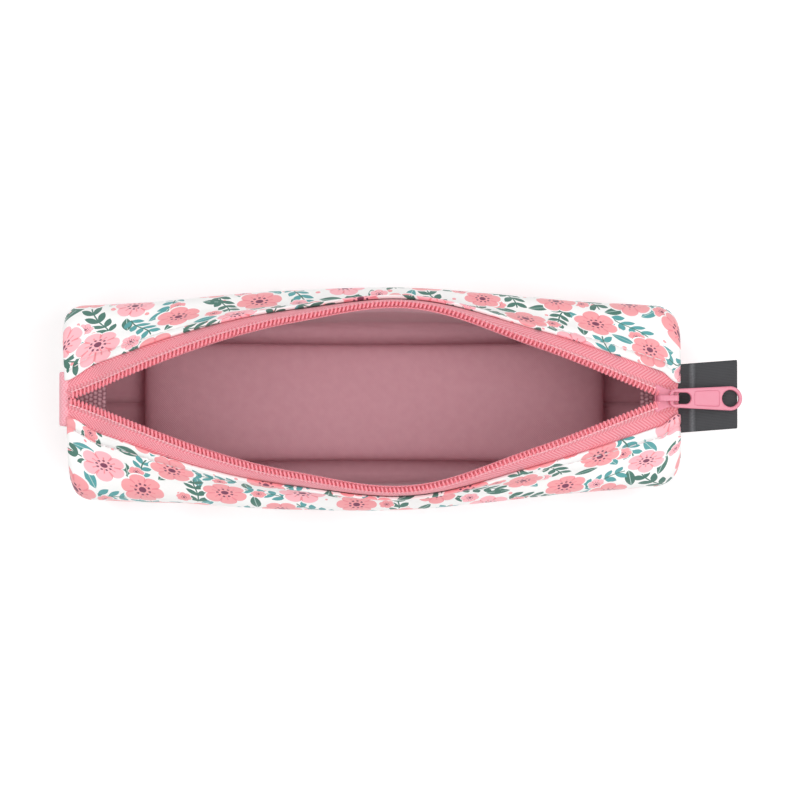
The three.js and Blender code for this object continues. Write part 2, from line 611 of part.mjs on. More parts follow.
// Pull in its own frame: the bar lies on the pivot and the tab runs along +X, widening to a ring
function pullTab() {
  const barHalf = PULL_BAR_WIDTH / 2 - PULL_EDGE;
  const endRound = PULL_END_WIDTH / 2 - PULL_EDGE;
  const near = -PULL_BAR / 2 + PULL_EDGE;
  const ringCentre = PULL_LENGTH - PULL_BAR / 2 - PULL_END_WIDTH / 2;
  const shape = new THREE.Shape();
  shape.moveTo(near, -barHalf + PULL_NEAR_ROUND);
  shape.quadraticCurveTo(near, -barHalf, near + PULL_NEAR_ROUND, -barHalf);
  shape.lineTo(ringCentre, -endRound);
  shape.absarc(ringCentre, 0, endRound, -Math.PI / 2, Math.PI / 2, false);
  shape.lineTo(near + PULL_NEAR_ROUND, barHalf);
  shape.quadraticCurveTo(near, barHalf, near, barHalf - PULL_NEAR_ROUND);
  shape.closePath();
  const window = new THREE.Path();
  const windowRound = PULL_WINDOW_WIDTH / 2 + PULL_EDGE;
  const windowFar = PULL_BAR / 2 + PULL_WINDOW_LENGTH;
  const windowNear = PULL_BAR / 2 - PULL_EDGE;
  window.moveTo(windowNear, windowRound);
  window.lineTo(windowFar - windowRound, windowRound);
  window.absarc(windowFar - windowRound, 0, windowRound, Math.PI / 2, -Math.PI / 2, true);
  window.lineTo(windowNear, -windowRound);
  window.closePath();
  const hole = new THREE.Path();
  hole.absarc(ringCentre, 0, PULL_HOLE_RADIUS + PULL_EDGE, 0, 2 * Math.PI, true);
  shape.holes.push(window, hole);
  const plate = extruded(shape, -PULL_THICKNESS / 2 + PULL_EDGE, PULL_THICKNESS / 2 - PULL_EDGE, {
    bevelEnabled: true, bevelSegments: 1, bevelSize: PULL_EDGE, bevelThickness: PULL_EDGE,
    curveSegments: PULL_STEPS,
  });
  const rim = PULL_RECESS_RIM - PULL_EDGE;
  const halfAt = (x) => THREE.MathUtils.lerp(barHalf, endRound, x / ringCentre) - rim;
  const recessNear = windowFar + PULL_RECESS_MARGIN;
  const recessFar = ringCentre - PULL_HOLE_RADIUS - PULL_RECESS_MARGIN;
  const recess = roundedShape([
    new THREE.Vector2(recessNear, -halfAt(recessNear)), new THREE.Vector2(recessFar, -halfAt(recessFar)),
    new THREE.Vector2(recessFar, halfAt(recessFar)), new THREE.Vector2(recessNear, halfAt(recessNear)),
  ], CORNER_ROUND);
  const pocketFloor = PULL_THICKNESS / 2 - PULL_RECESS_DEPTH;
  const pocket = extruded(recess, pocketFloor, PULL_THICKNESS, { curveSegments: FOLD_STEPS });
  const tab = asSolid(plate).subtract(asSolid(pocket));
  const mesh = addPart('pull_tab', asGeometry(tab), COLOURS.paint, 0.4, 0.2);
  mesh.position.set(PIVOT_X, 0, PIVOT_Z);
  mesh.rotation.y = THREE.MathUtils.degToRad(PULL_DROOP_DEG);
  return mesh;
}

sliderBody();
pullTab();

// Folded loops sewn into the end seams

// Strip folded in two, from its sewn end at x = 0 to its fold at x = length, width along Y
function foldedStrip(length, width, ply) {
  const outer = ply + LAYER_GAP / 2;
  const inner = LAYER_GAP / 2;
  const shape = new THREE.Shape();
  shape.moveTo(0, -outer);
  shape.lineTo(length - outer, -outer);
  shape.absarc(length - outer, 0, outer, -Math.PI / 2, Math.PI / 2, false);
  shape.lineTo(0, outer);
  shape.lineTo(0, inner);
  shape.lineTo(length - outer, inner);
  shape.absarc(length - outer, 0, inner, Math.PI / 2, -Math.PI / 2, true);
  shape.lineTo(0, -inner);
  shape.closePath();
  return extruded(shape, -width / 2, width / 2, { curveSegments: FOLD_STEPS }).rotateX(Math.PI / 2);
}

const label = addPart('side_label', foldedStrip(LABEL_LENGTH, LABEL_WIDTH, LABEL_PLY), COLOURS.label);
const labelTurn = THREE.MathUtils.degToRad(LABEL_TURN_DEG);
const labelSwing = (LABEL_WIDTH / 2) * Math.sin(labelTurn);
label.position.set(HALF_LENGTH + LAYER_GAP + labelSwing, 0, BODY_HEIGHT - LABEL_DROP - LABEL_PLY);
label.rotation.z = labelTurn;

const tab = addPart('end_tab', foldedStrip(TAB_LENGTH, TAB_WIDTH, TAB_PLY), COLOURS.tab);
tab.position.set(-HALF_LENGTH - LAYER_GAP * 1.5 - TAB_PLY, 0, BODY_HEIGHT - TAB_DROP);
tab.rotation.y = Math.PI / 2;

// Cold pack in its sleeve on the floor

// Rounded flat block along X, used for the pack and for its sleeve
function pillow(left, right, width, low, high) {
  const radius = (high - low) / 2;
  const half = width / 2;
  const shape = new THREE.Shape();
  const middle = (low + high) / 2;
  shape.moveTo(-half + radius, low);
  shape.lineTo(half - radius, low);
  shape.absarc(half - radius, middle, radius, -Math.PI / 2, Math.PI / 2, false);
  shape.lineTo(-half + radius, high);
  shape.absarc(-half + radius, middle, radius, Math.PI / 2, (3 * Math.PI) / 2, false);
  const outline = shape.extractPoints(CORNER_STEPS * 2).shape.slice(0, -1).map((p) => [p.x, p.y]);
  return loft([left, right], () => outline);
}

const SLEEVE_LOW = INNER_DEPTH;
const PACK_LOW = SLEEVE_LOW + SLEEVE_THICKNESS + LAYER_GAP;
const PACK_HIGH = PACK_LOW + PACK_THICKNESS;
const SLEEVE_HALF = PACK_LENGTH / 2 + SLEEVE_MARGIN;
const sleeveExtra = SLEEVE_THICKNESS + LAYER_GAP;

const pack = pillow(-PACK_LENGTH / 2, PACK_LENGTH / 2, PACK_WIDTH, PACK_LOW, PACK_HIGH);
addPart('gel_pack', pack, COLOURS.gel, 0.3);
const sleeveOutside = asSolid(pillow(-SLEEVE_HALF, SLEEVE_HALF, PACK_WIDTH + 2 * sleeveExtra, SLEEVE_LOW,
  PACK_HIGH + sleeveExtra));
const sleeveInside = asSolid(pillow(-PACK_LENGTH / 2 - LAYER_GAP, SLEEVE_HALF + SLEEVE_MARGIN,
  PACK_WIDTH + 2 * LAYER_GAP, PACK_LOW - LAYER_GAP, PACK_HIGH + LAYER_GAP));
addPart('gel_pack_sleeve', asGeometry(sleeveOutside.subtract(sleeveInside)), COLOURS.lining);

export default insulinCase;
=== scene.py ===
"""Insulated zip case: printed shell, lining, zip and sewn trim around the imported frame.

Lengths are in millimetres up to the point where a mesh is made, and the frame is in metres.
"""
import json
import math

import bpy
import numpy as np
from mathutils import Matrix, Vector


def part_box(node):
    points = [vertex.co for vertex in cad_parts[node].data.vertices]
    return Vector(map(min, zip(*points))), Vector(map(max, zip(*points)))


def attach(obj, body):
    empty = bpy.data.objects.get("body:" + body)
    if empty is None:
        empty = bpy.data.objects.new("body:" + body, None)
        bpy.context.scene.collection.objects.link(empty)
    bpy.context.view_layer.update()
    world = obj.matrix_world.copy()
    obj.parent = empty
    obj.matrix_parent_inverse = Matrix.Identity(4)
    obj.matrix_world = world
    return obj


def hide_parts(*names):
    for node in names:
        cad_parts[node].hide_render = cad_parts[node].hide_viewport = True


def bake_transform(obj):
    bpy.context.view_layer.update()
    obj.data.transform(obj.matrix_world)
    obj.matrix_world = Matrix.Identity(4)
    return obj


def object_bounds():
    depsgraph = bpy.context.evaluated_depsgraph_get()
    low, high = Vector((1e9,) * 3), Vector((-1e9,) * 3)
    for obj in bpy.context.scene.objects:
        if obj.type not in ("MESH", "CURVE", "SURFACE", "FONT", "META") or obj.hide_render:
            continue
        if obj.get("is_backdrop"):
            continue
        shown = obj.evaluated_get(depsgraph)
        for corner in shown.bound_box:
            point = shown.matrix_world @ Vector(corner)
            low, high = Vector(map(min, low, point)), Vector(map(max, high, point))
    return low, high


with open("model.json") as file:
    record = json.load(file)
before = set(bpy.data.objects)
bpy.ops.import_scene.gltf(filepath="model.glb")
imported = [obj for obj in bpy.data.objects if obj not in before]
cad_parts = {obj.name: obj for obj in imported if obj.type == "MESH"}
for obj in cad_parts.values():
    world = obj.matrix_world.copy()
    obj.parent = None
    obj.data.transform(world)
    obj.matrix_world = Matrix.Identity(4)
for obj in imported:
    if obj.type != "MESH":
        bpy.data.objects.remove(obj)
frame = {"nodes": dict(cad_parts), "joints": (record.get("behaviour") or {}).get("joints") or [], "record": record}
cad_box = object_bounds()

MM = 0.001
UV_UNIT = 10.0
FULL_TURN = 2 * math.pi

# Outline of the box, as in the CAD model, with tighter corners at the soft left end
JOINTS = {joint["name"]: joint for joint in frame["joints"]}
FOLD = [value / MM for value in JOINTS["back_flap_fold"]["pos_m"]]
FOLD_Y = FOLD[1]
FOLD_Z = FOLD[2]
TRAVEL = JOINTS["slider_travel"]["range_m"][1] / MM
RATIO = frame["record"]["behaviour"]["couplings"][0]["ratio"]
CLOSING_ANGLE = RATIO * TRAVEL * MM
HALF_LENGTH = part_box("right_end_panel")[1][0] / MM
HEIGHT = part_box("right_end_panel")[1][2] / MM
HALF_WIDTH = 33.0
MIDDLE_BOW = 5.0
BASE_BOW_SHARE = 0.3
BASE_RADIUS = 9.0
TOP_RADIUS = 9.0
RIGHT_PLAN_RADIUS = 8.7
LEFT_PLAN_RADIUS = 7.2

# Layers, as depths under the outer surface
SHELL = 1.0
FOAM_DEPTH = 1.3
FOAM_INSIDE = 4.3
LINING_DEPTH = 4.6
LINING_THICKNESS = 0.6
WALL_DEPTH = 5.2
LAYER_END = HALF_LENGTH - 1.3
SHELL_END = HALF_LENGTH - 0.1
END_ROLL = 1.7
LINING_END = HALF_LENGTH - 4.6
END_LINING_INSIDE = HALF_LENGTH - 5.5

# Mouth and zip
BEND_START = 2.0
BEND_LENGTH = 30.0
MOUTH_LEFT = 1.5 - HALF_LENGTH
MOUTH_RIGHT = HALF_LENGTH - 4.5
MOUTH_HALF_WIDTH = 29.5
MOUTH_POINT_POWER = 1.1
ENGAGED_Y = 0.65
PARTED_Y = 1.45
SLIDER_LENGTH = 8.2
SLIDER_END_GAP = 1.4
CLOSED_TAIL = HALF_LENGTH - SLIDER_END_GAP - TRAVEL
CLOSED_MOUTH = CLOSED_TAIL - SLIDER_LENGTH
TOOTH_PITCH = 1.4
FABRIC_EDGE = 8.1
TAPE_DEPTH = 1.3
TAPE_THICKNESS = 0.6
BRIM = 7.0
TOPSTITCH = 4.0
LEFT_DRAW_LENGTH = 11.0
RIGHT_DRAW_LENGTH = 5.5
LEFT_EDGE_DRAW = 2.4
RIGHT_EDGE_DRAW = 3.4
FRONT_SWAY = 2.6
LEFT_SKEW = 1.6
SKEW_START = 60.0
SKEW_LENGTH = 48.0

# Where the soft mouth gapes past its middle, and how the closed zip dips under the pull
GAPE_X = 14.5
GAPE_REACH = 42.0
GAPE = 3.3
CLOSED_CROWN = 0.9
CLOSED_DIP = 3.0
DIP_START_LENGTH = 18.0
DIP_END = -62.0
DIP_END_LENGTH = 60.0

# Label: its length with what is sewn in, and the place of its crease, from the sewn end
LABEL_LENGTH = 20.9
LABEL_CREASE = 4.6

SIDES = (("front", -1), ("back", 1))
ENDS = (("left", -1), ("right", 1))


def clamped(value):
    return min(1.0, max(0.0, value))


def smoothstep(value):
    t = clamped(value)
    return t * t * (3 - 2 * t)


def bell(value):
    return math.exp(-value ** 2)


def box_mm(node):
    """Low and high corner of a CAD node's box."""
    return [np.array(corner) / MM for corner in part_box(node)]


# Mouth geometry: the closed half at +Y, and the turn about its fold line that opens it

def half_width(x, z):
    radius = LEFT_PLAN_RADIUS if x < 0 else RIGHT_PLAN_RADIUS
    past = max(0.0, abs(x) - (HALF_LENGTH - radius))
    corner = radius - math.sqrt(max(0.0, radius ** 2 - past ** 2))
    bow = MIDDLE_BOW * math.cos(math.pi * x / (2 * HALF_LENGTH)) ** 2
    share = BASE_BOW_SHARE + (1 - BASE_BOW_SHARE) * smoothstep(z / FOLD_Z)
    return HALF_WIDTH - corner + bow * share


def gape_share(x):
    """1 where the soft mouth gapes widest, and 0 from a reach on either side of that."""
    away = min(1.0, abs(x - GAPE_X) / GAPE_REACH)
    return math.cos(math.pi / 2 * away) ** 2


def open_y(x):
    along = clamped((x - MOUTH_LEFT) / (MOUTH_RIGHT - MOUTH_LEFT))
    rise = max(0.0, math.sin(math.pi * along)) ** MOUTH_POINT_POWER
    return ENGAGED_Y + (MOUTH_HALF_WIDTH - ENGAGED_Y) * rise + GAPE * gape_share(x)


def closed_y(x):
    before = smoothstep((x - MOUTH_LEFT) / (CLOSED_MOUTH - MOUTH_LEFT))
    after = smoothstep((CLOSED_TAIL - x) / SLIDER_LENGTH)
    return ENGAGED_Y + PARTED_Y * min(before, after)


def closed_rise(x):
    """Height of the closed zip over its ends: it dips under the pull and crowns where the mouth gapes."""
    begun = smoothstep((x - CLOSED_TAIL) / DIP_START_LENGTH)
    ended = smoothstep((x - DIP_END) / DIP_END_LENGTH)
    return CLOSED_CROWN * gape_share(x) - CLOSED_DIP * (begun * (1 - ended))


def open_angle(x):
    reach = FOLD_Y - closed_y(x)
    lift = HEIGHT - FOLD_Z + closed_rise(x)
    radius = math.hypot(reach, lift)
    opened = math.acos((FOLD_Y - max(open_y(x), closed_y(x))) / radius)
    return max(0.0, opened - math.atan2(lift, reach))


def turn(y, z, angle):
    outward = y - FOLD_Y
    up = z - FOLD_Z
    cosine = math.cos(angle)
    sine = math.sin(angle)
    return FOLD_Y + outward * cosine + up * sine, FOLD_Z + up * cosine - outward * sine


def turn_share(y, z):
    return smoothstep((math.hypot(y - FOLD_Y, z - FOLD_Z) - BEND_START) / BEND_LENGTH)


def closed_top(x, y):
    start = half_width(x, HEIGHT) - TOP_RADIUS
    share = clamped((start - y) / (start - closed_y(x)))
    return HEIGHT + closed_rise(x) * share * share


def fabric_edge(x):
    """Offset of the folded edge from the tooth row: it draws in towards both ends of the zip."""
    left = 1 - smoothstep((x + LAYER_END) / LEFT_DRAW_LENGTH)
    right = 1 - smoothstep((LAYER_END - x) / RIGHT_DRAW_LENGTH)
    return FABRIC_EDGE - LEFT_EDGE_DRAW * left - RIGHT_EDGE_DRAW * right


def section_point(x, segment, t):
    """Closed outer point of the half section, its inward direction, and the share of the turn it takes."""
    if segment == "base":
        return t * (half_width(x, 0) - BASE_RADIUS), 0.0, 0.0, 1.0, 0.0
    if segment == "foot":
        a = t * math.pi / 2
        z = BASE_RADIUS * (1 - math.cos(a))
        return half_width(x, z) - BASE_RADIUS * (1 - math.sin(a)), z, -math.sin(a), math.cos(a), 0.0
    if segment == "wall":
        z = BASE_RADIUS + t * (FOLD_Z - BASE_RADIUS)
        return half_width(x, z), z, -1.0, 0.0, 0.0
    if segment == "rise":
        z = FOLD_Z + t * (HEIGHT - TOP_RADIUS - FOLD_Z)
        y = half_width(x, z)
        return y, z, -1.0, 0.0, turn_share(y, z)
    if segment == "corner":
        a = t * math.pi / 2
        y = half_width(x, HEIGHT) - TOP_RADIUS * (1 - math.cos(a))
        z = HEIGHT - TOP_RADIUS * (1 - math.sin(a))
        return y, z, -math.cos(a), -math.sin(a), turn_share(y, z)
    offset = t
    if segment == "top":
        start = half_width(x, HEIGHT) - TOP_RADIUS - closed_y(x)
        offset = start + t * (fabric_edge(x) + BRIM - start)
    if segment == "brim":
        offset = fabric_edge(x) + t
    y = closed_y(x) + offset
    z = closed_top(x, y)
    return y, z, 0.0, -1.0, turn_share(y, z)


def half_point(x, mark, depth):
    """Open place of a mark at a depth under the outer surface, and its weight of the flap's turn."""
    y, z, inward_y, inward_z, share = section_point(x, *mark)
    angle = open_angle(x) * share
    y, z = turn(y + inward_y * depth, z + inward_z * depth, angle)
    return x, y, z, angle / CLOSING_ANGLE


def row_point(x, offset, height):
    """Open place beside a tooth row, at an offset from it and a height over the top surface."""
    return half_point(x, ("row", offset), -height)


def spread(segment, count):
    return [(segment, k / count) for k in range(1, count + 1)]


def section_marks(*counts):
    """Marks from the middle of the base to the end of the corner, with the counts of steps between."""
    marks = [("base", 0.0)]
    for segment, count in zip(("base", "foot", "wall", "rise", "corner"), counts):
        marks += spread(segment, count)
    return marks


def stations(end, count):
    """Lengths along X, closer together towards both ends."""
    even = np.linspace(-1, 1, count)
    even_share = 0.55
    return end * (even_share * even + (1 - even_share) * np.sin(even * math.pi / 2))


# Meshes

def add_object(name, data):
    thing = bpy.data.objects.new(name, data)
    bpy.context.scene.collection.objects.link(thing)
    return thing


def shade_smooth(mesh):
    mesh.polygons.foreach_set("use_smooth", [True] * len(mesh.polygons))


def unit_tangents(path):
    tangents = np.gradient(path, axis=0)
    return tangents / np.linalg.norm(tangents, axis=1)[:, None]


def run_along(path):
    """Distance along a path from its first point, at each of its points."""
    steps = np.linalg.norm(np.diff(path, axis=0), axis=1)
    return np.concatenate([[0.0], np.cumsum(steps)])


def make(name, points, faces, uv=None):
    mesh = bpy.data.meshes.new(name)
    points = np.asarray(points, float)
    mesh.from_pydata((points * MM).tolist(), [], faces)
    if uv is not None:
        layer = mesh.uv_layers.new(name="UVMap")
        loops = np.zeros(len(mesh.loops), int)
        mesh.loops.foreach_get("vertex_index", loops)
        layer.data.foreach_set("uv", (np.asarray(uv, float)[loops] / UV_UNIT).ravel())
    mesh.validate()
    if signed_volume(mesh) < 0:
        mesh.flip_normals()
    shade_smooth(mesh)
    return add_object(name, mesh)


def signed_volume(mesh):
    mesh.calc_loop_triangles()
    points = np.array([vertex.co for vertex in mesh.vertices])
    corners = points[np.array([triangle.vertices for triangle in mesh.loop_triangles])]
    return np.einsum("ij,ij->i", corners[:, 0], np.cross(corners[:, 1], corners[:, 2])).sum()


def grid_faces(rows, columns, first, flip):
    faces = []
    for r in range(rows - 1):
        for c in range(columns - 1):
            a = first + r * columns + c
            quad = [a, a + 1, a + columns + 1, a + columns]
            faces.append(quad[::-1] if flip else quad)
    return faces


def thick_faces(rows, columns):
    """Faces of a closed sheet: a top grid, a bottom grid and the rim between them."""
    size = rows * columns
    faces = grid_faces(rows, columns, 0, False) + grid_faces(rows, columns, size, True)
    rim = list(range(columns))
    rim += [r * columns + columns - 1 for r in range(1, rows)]
    rim += [(rows - 1) * columns + c for c in range(columns - 2, -1, -1)]
    rim += [r * columns for r in range(rows - 2, 0, -1)]
    for k, a in enumerate(rim):
        b = rim[(k + 1) % len(rim)]
        faces.append([b, a, a + size, b + size])
    return faces


def keep_middle_square(piece):
    """Creases the edges on the middle plane, so that the two halves of a sheet meet without a groove."""
    mesh = piece.data
    crease = mesh.attributes.new("crease_edge", "FLOAT", "EDGE")
    middle = [abs(vertex.co.y) < 1e-6 for vertex in mesh.vertices]
    crease.data.foreach_set("value", [float(all(middle[v] for v in edge.vertices)) for edge in mesh.edges])


def subdivide(piece):
    modifier = piece.modifiers.new("Subdivision", "SUBSURF")
    modifier.levels = 1
    modifier.render_levels = 1


def ring_faces(rings, sides):
    """Faces of a closed body through rings of points, with a cap on its first and its last ring."""
    faces = []
    for r in range(rings - 1):
        for k in range(sides):
            a = r * sides + k
            b = r * sides + (k + 1) % sides
            faces.append([a, b, b + sides, a + sides])
    faces.append(list(range(sides))[::-1])
    faces.append([(rings - 1) * sides + k for k in range(sides)])
    return faces


def tube(path, radius, sides):
    """Points and faces of a closed round tube along a path, with one radius or one at each point."""
    path = np.asarray(path, float)
    radii = np.broadcast_to(radius, len(path))
    off_axis = (0.31, 0.17, 0.93)
    tangents = unit_tangents(path)
    normal = np.cross(tangents[0], off_axis)
    points = []
    for place, tangent, reach in zip(path, tangents, radii):
        normal = normal - tangent * normal.dot(tangent)
        normal /= np.linalg.norm(normal)
        across = np.cross(tangent, normal)
        for k in range(sides):
            a = FULL_TURN * k / sides
            points.append(place + reach * (math.cos(a) * normal + math.sin(a) * across))
    return points, ring_faces(len(path), sides)


def finish_piece(piece, material, nodes, body="case"):
    piece.data.materials.append(material)
    if nodes:
        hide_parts(*nodes)
    if body:
        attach(piece, body)
    return piece


def finish_flap_piece(piece, material, nodes, side):
    """Finishes a piece that follows the case at its wall: gives it its material, hides its CAD nodes and bakes its
    place.
    """
    finish_piece(piece, material, nodes, None)
    start = (0, side * FOLD_Y * MM, FOLD_Z * MM)
    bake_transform(piece)


# Materials

def math_step(operation):
    return lambda first, second: first.graph.math(operation, first, second)


class Field:
    """A number in a shader graph: arithmetic on it adds Math nodes."""

    def __init__(self, graph, socket):
        self.graph = graph
        self.socket = socket

    def __rsub__(self, other):
        return self.graph.math("SUBTRACT", other, self)

    def __abs__(self):
        return self.graph.math("ABSOLUTE", self)

    __add__ = math_step("ADD")
    __sub__ = math_step("SUBTRACT")
    __mul__ = math_step("MULTIPLY")
    __truediv__ = math_step("DIVIDE")
    __lt__ = math_step("LESS_THAN")
    __gt__ = math_step("GREATER_THAN")


class Graph:
    """Node graph of one material, with the few steps that the materials here share."""

    def __init__(self, name, **constants):
        self.material = bpy.data.materials.new(name)
        self.material.use_nodes = True
        self.tree = self.material.node_tree
        self.shader = self.tree.nodes["Principled BSDF"]
        for socket, value in constants.items():
            self.shader.inputs[socket.replace("_", " ")].default_value = value

    def add(self, kind, **settings):
        node = self.tree.nodes.new(kind)
        for name, value in settings.items():
            setattr(node, name, value)
        return node

    def put(self, socket, value):
        if isinstance(value, Field):
            value = value.socket
        if isinstance(value, bpy.types.NodeSocket):
            self.tree.links.new(value, socket)
        else:
            socket.default_value = value

    def math(self, operation, *values):
        node = self.add("ShaderNodeMath", operation=operation)
        for socket, value in zip(node.inputs, values):
            self.put(socket, value)
        return Field(self, node.outputs[0])

    def vector(self, operation, first, second):
        node = self.add("ShaderNodeVectorMath", operation=operation)
        self.put(node.inputs[0], first)
        self.put(node.inputs[1], second)
        return node.outputs[0]

    def split(self, vector):
        node = self.add("ShaderNodeSeparateXYZ")
        self.put(node.inputs[0], vector)
        return [Field(self, output) for output in node.outputs]

    def uv(self):
        return self.add("ShaderNodeUVMap", uv_map="UVMap").outputs[0]

    def place(self):
        return self.add("ShaderNodeTexCoord").outputs["Object"]

    def mix(self, mask, first, second):
        """Mix of two colours, through the sockets that the node has for them."""
        node = self.add("ShaderNodeMix", data_type="RGBA")
        self.put(node.inputs[0], mask)
        self.put(node.inputs[6], first)
        self.put(node.inputs[7], second)
        return node.outputs[2]

    def noise(self, vector, scale, detail=3.0):
        node = self.add("ShaderNodeTexNoise")
        self.put(node.inputs["Vector"], vector)
        node.inputs["Scale"].default_value = scale
        node.inputs["Detail"].default_value = detail
        return Field(self, node.outputs[0])

    def waves(self, value):
        """0 to 1 and back for each unit of value."""
        return self.math("PINGPONG", value, 0.5) * 2

    def surface(self, colour, rough, height, distance, strength):
        """The finished material, with a bump of a height over a distance."""
        self.put(self.shader.inputs["Base Color"], colour)
        self.put(self.shader.inputs["Roughness"], rough)
        node = self.add("ShaderNodeBump")
        self.put(node.inputs["Distance"], distance * MM)
        self.put(node.inputs["Strength"], strength)
        self.put(node.inputs["Height"], height)
        self.put(self.shader.inputs["Normal"], node.outputs[0])
        return self.material


def rgb(red, green, blue):
    """Linear colour of a screen colour given from 0 to 255."""
    def linear(value):
        share = value / 255
        return share / 12.92 if share <= 0.04045 else ((share + 0.055) / 1.055) ** 2.4
    return linear(red), linear(green), linear(blue), 1.0


GRID = 20.0
GRID_LOOSENESS = 0.3
WHITE = rgb(250, 249, 248)
PALE_LEAF = rgb(186, 212, 206)
SALMON = rgb(247, 164, 169)
ROSE = rgb(240, 141, 150)
PLUM = rgb(124, 64, 90)
LEAF = rgb(74, 118, 106)
TEAL = rgb(88, 160, 162)
CORAL = rgb(232, 108, 124)
PALE_CORAL = rgb(255, 187, 196)
COIL = rgb(250, 122, 138)
COIL_LIGHT = rgb(255, 172, 182)
COIL_THREAD = rgb(252, 200, 206)
PAINT = rgb(225, 138, 159)
PAINT_DARK = rgb(222, 122, 145)
LINING = rgb(226, 178, 187)
LINING_DARK = rgb(204, 150, 161)
BINDING = rgb(238, 194, 202)
BINDING_DARK = rgb(132, 76, 90)
CHARCOAL = rgb(33, 33, 36)
CHARCOAL_LIGHT = rgb(62, 63, 67)
# Lighter grey along the label's crease: painted sheen on the fold, partly wear
CREASE_SHEEN_GREY = rgb(122, 123, 127)
RIBBON = rgb(253, 196, 205)
RIBBON_DARK = rgb(240, 152, 166)
THREAD = rgb(244, 238, 238)
THREAD_DARK = rgb(224, 206, 208)
FOAM = rgb(236, 234, 228)
FOAM_DARK = rgb(212, 209, 202)
GEL = rgb(196, 220, 232)
GEL_DARK = rgb(170, 200, 220)


def motif_cells(graph, plane, shift, spacing=GRID, looseness=GRID_LOOSENESS):
    """Place in the nearest cell of a loose grid, and three random numbers for that cell."""
    moved = graph.vector("ADD", plane, shift)
    node = graph.add("ShaderNodeTexVoronoi", voronoi_dimensions="2D")
    node.inputs["Scale"].default_value = UV_UNIT / spacing
    node.inputs["Randomness"].default_value = looseness
    graph.put(node.inputs["Vector"], moved)
    local = graph.vector("SUBTRACT", moved, node.outputs["Position"])
    chance = graph.add("ShaderNodeSeparateColor")
    graph.put(chance.inputs[0], node.outputs["Color"])
    x, y, _ = graph.split(local)
    return x * UV_UNIT, y * UV_UNIT, [Field(graph, output) for output in chance.outputs[:3]]


def turned(graph, x, y, angle):
    cosine = graph.math("COSINE", angle)
    sine = graph.math("SINE", angle)
    return x * cosine + y * sine, y * cosine - x * sine


def leaf_mask(along, across, length, width):
    share = along / length
    return abs(across) < share * (1 - share) * (4 * width)


def slanted(graph, plane, degrees):
    """The print's plane turned, so that its loose grids don't line up with the case."""
    x, y, _ = graph.split(plane)
    angle = math.radians(degrees)
    node = graph.add("ShaderNodeCombineXYZ")
    graph.put(node.inputs[0], x * math.cos(angle) + y * math.sin(angle))
    graph.put(node.inputs[1], y * math.cos(angle) - x * math.sin(angle))
    return node.outputs[0]


def dots(graph, plane, colour):
    spacing = 7.0
    looseness = 0.7
    x, y, chance = motif_cells(graph, plane, (3.7, 1.9, 0), spacing, looseness)
    radius = chance[1] * 0.5 + 0.45
    dot = (graph.math("SQRT", x * x + y * y) < radius) * (chance[0] > 0.5)
    return graph.mix(dot, colour, SALMON)


def single_leaves(graph, plane, shift, colour):
    """Broad leaves, each with a pale rib."""
    length = 8.6
    width = 1.8
    rib_width = 0.12
    x, y, chance = motif_cells(graph, plane, shift)
    along, across = turned(graph, x, y, chance[0] * FULL_TURN)
    across = across + graph.math("SINE", along * 0.35) * 0.3
    single = leaf_mask(along + length / 2, across, length, width)
    rib = abs(across) < rib_width
    shade = graph.mix(chance[1] > 0.5, LEAF, TEAL)
    return graph.mix(single, colour, graph.mix(rib, shade, PALE_LEAF))


def sprigs(graph, plane, shift, colour):
    """Curved stems with pairs of slim leaves."""
    half_length = 7.8
    stem_width = 0.26
    leaf_length = 5.2
    leaf_width = 1.15
    pair_step = 3.9
    lean = math.radians(44)
    x, y, chance = motif_cells(graph, plane, shift)
    along, across = turned(graph, x, y, chance[0] * FULL_TURN)
    across = across + graph.math("SINE", along * 0.3) * 0.9
    within = abs(along) < half_length
    outward = abs(across)
    stem = (outward < stem_width) * within
    step = graph.math("FLOORED_MODULO", along + half_length, pair_step) - 0.3
    blade = step * math.cos(lean) + outward * math.sin(lean)
    side = outward * math.cos(lean) - step * math.sin(lean)
    sprig = leaf_mask(blade, side, leaf_length, leaf_width) * within
    shade = graph.mix(chance[1] > 0.5, LEAF, TEAL)
    return graph.mix(stem, graph.mix(sprig, colour, shade), LEAF)


def blossoms(graph, plane, shift, least, spread_by, colour):
    """Six-petal blossoms with a ring of beads round a dark middle, each with a white edge."""
    lobe_depth = 0.28
    white_edge = 1.1
    bead_ring = 0.33
    bead_width = 0.055
    heart = 0.17
    x, y, chance = motif_cells(graph, plane, shift)
    radius = chance[1] * spread_by + least
    reach = graph.math("SQRT", x * x + y * y) / radius
    angle = graph.math("ARCTAN2", y, x) + chance[0] * FULL_TURN
    lobe = graph.math("POWER", abs(graph.math("COSINE", angle * 3)), 0.45)
    petal = reach / (lobe * lobe_depth + (1 - lobe_depth))
    colour = graph.mix(petal < white_edge, colour, WHITE)
    bloom = graph.mix(chance[2] > 0.6, SALMON, PALE_CORAL)
    notch = (graph.math("COSINE", angle * 6) < -0.9) * (reach > 0.45)
    bloom = graph.mix(notch, bloom, ROSE)
    bloom = graph.mix((graph.math("COSINE", angle * 6) > 0.93) * (reach < 0.6), bloom, ROSE)
    colour = graph.mix(petal < 1, colour, bloom)
    bead = (graph.math("COSINE", angle * 9) > 0.1) * (abs(reach - bead_ring) < bead_width)
    colour = graph.mix(bead, colour, PLUM)
    return graph.mix(reach < heart, colour, PLUM)


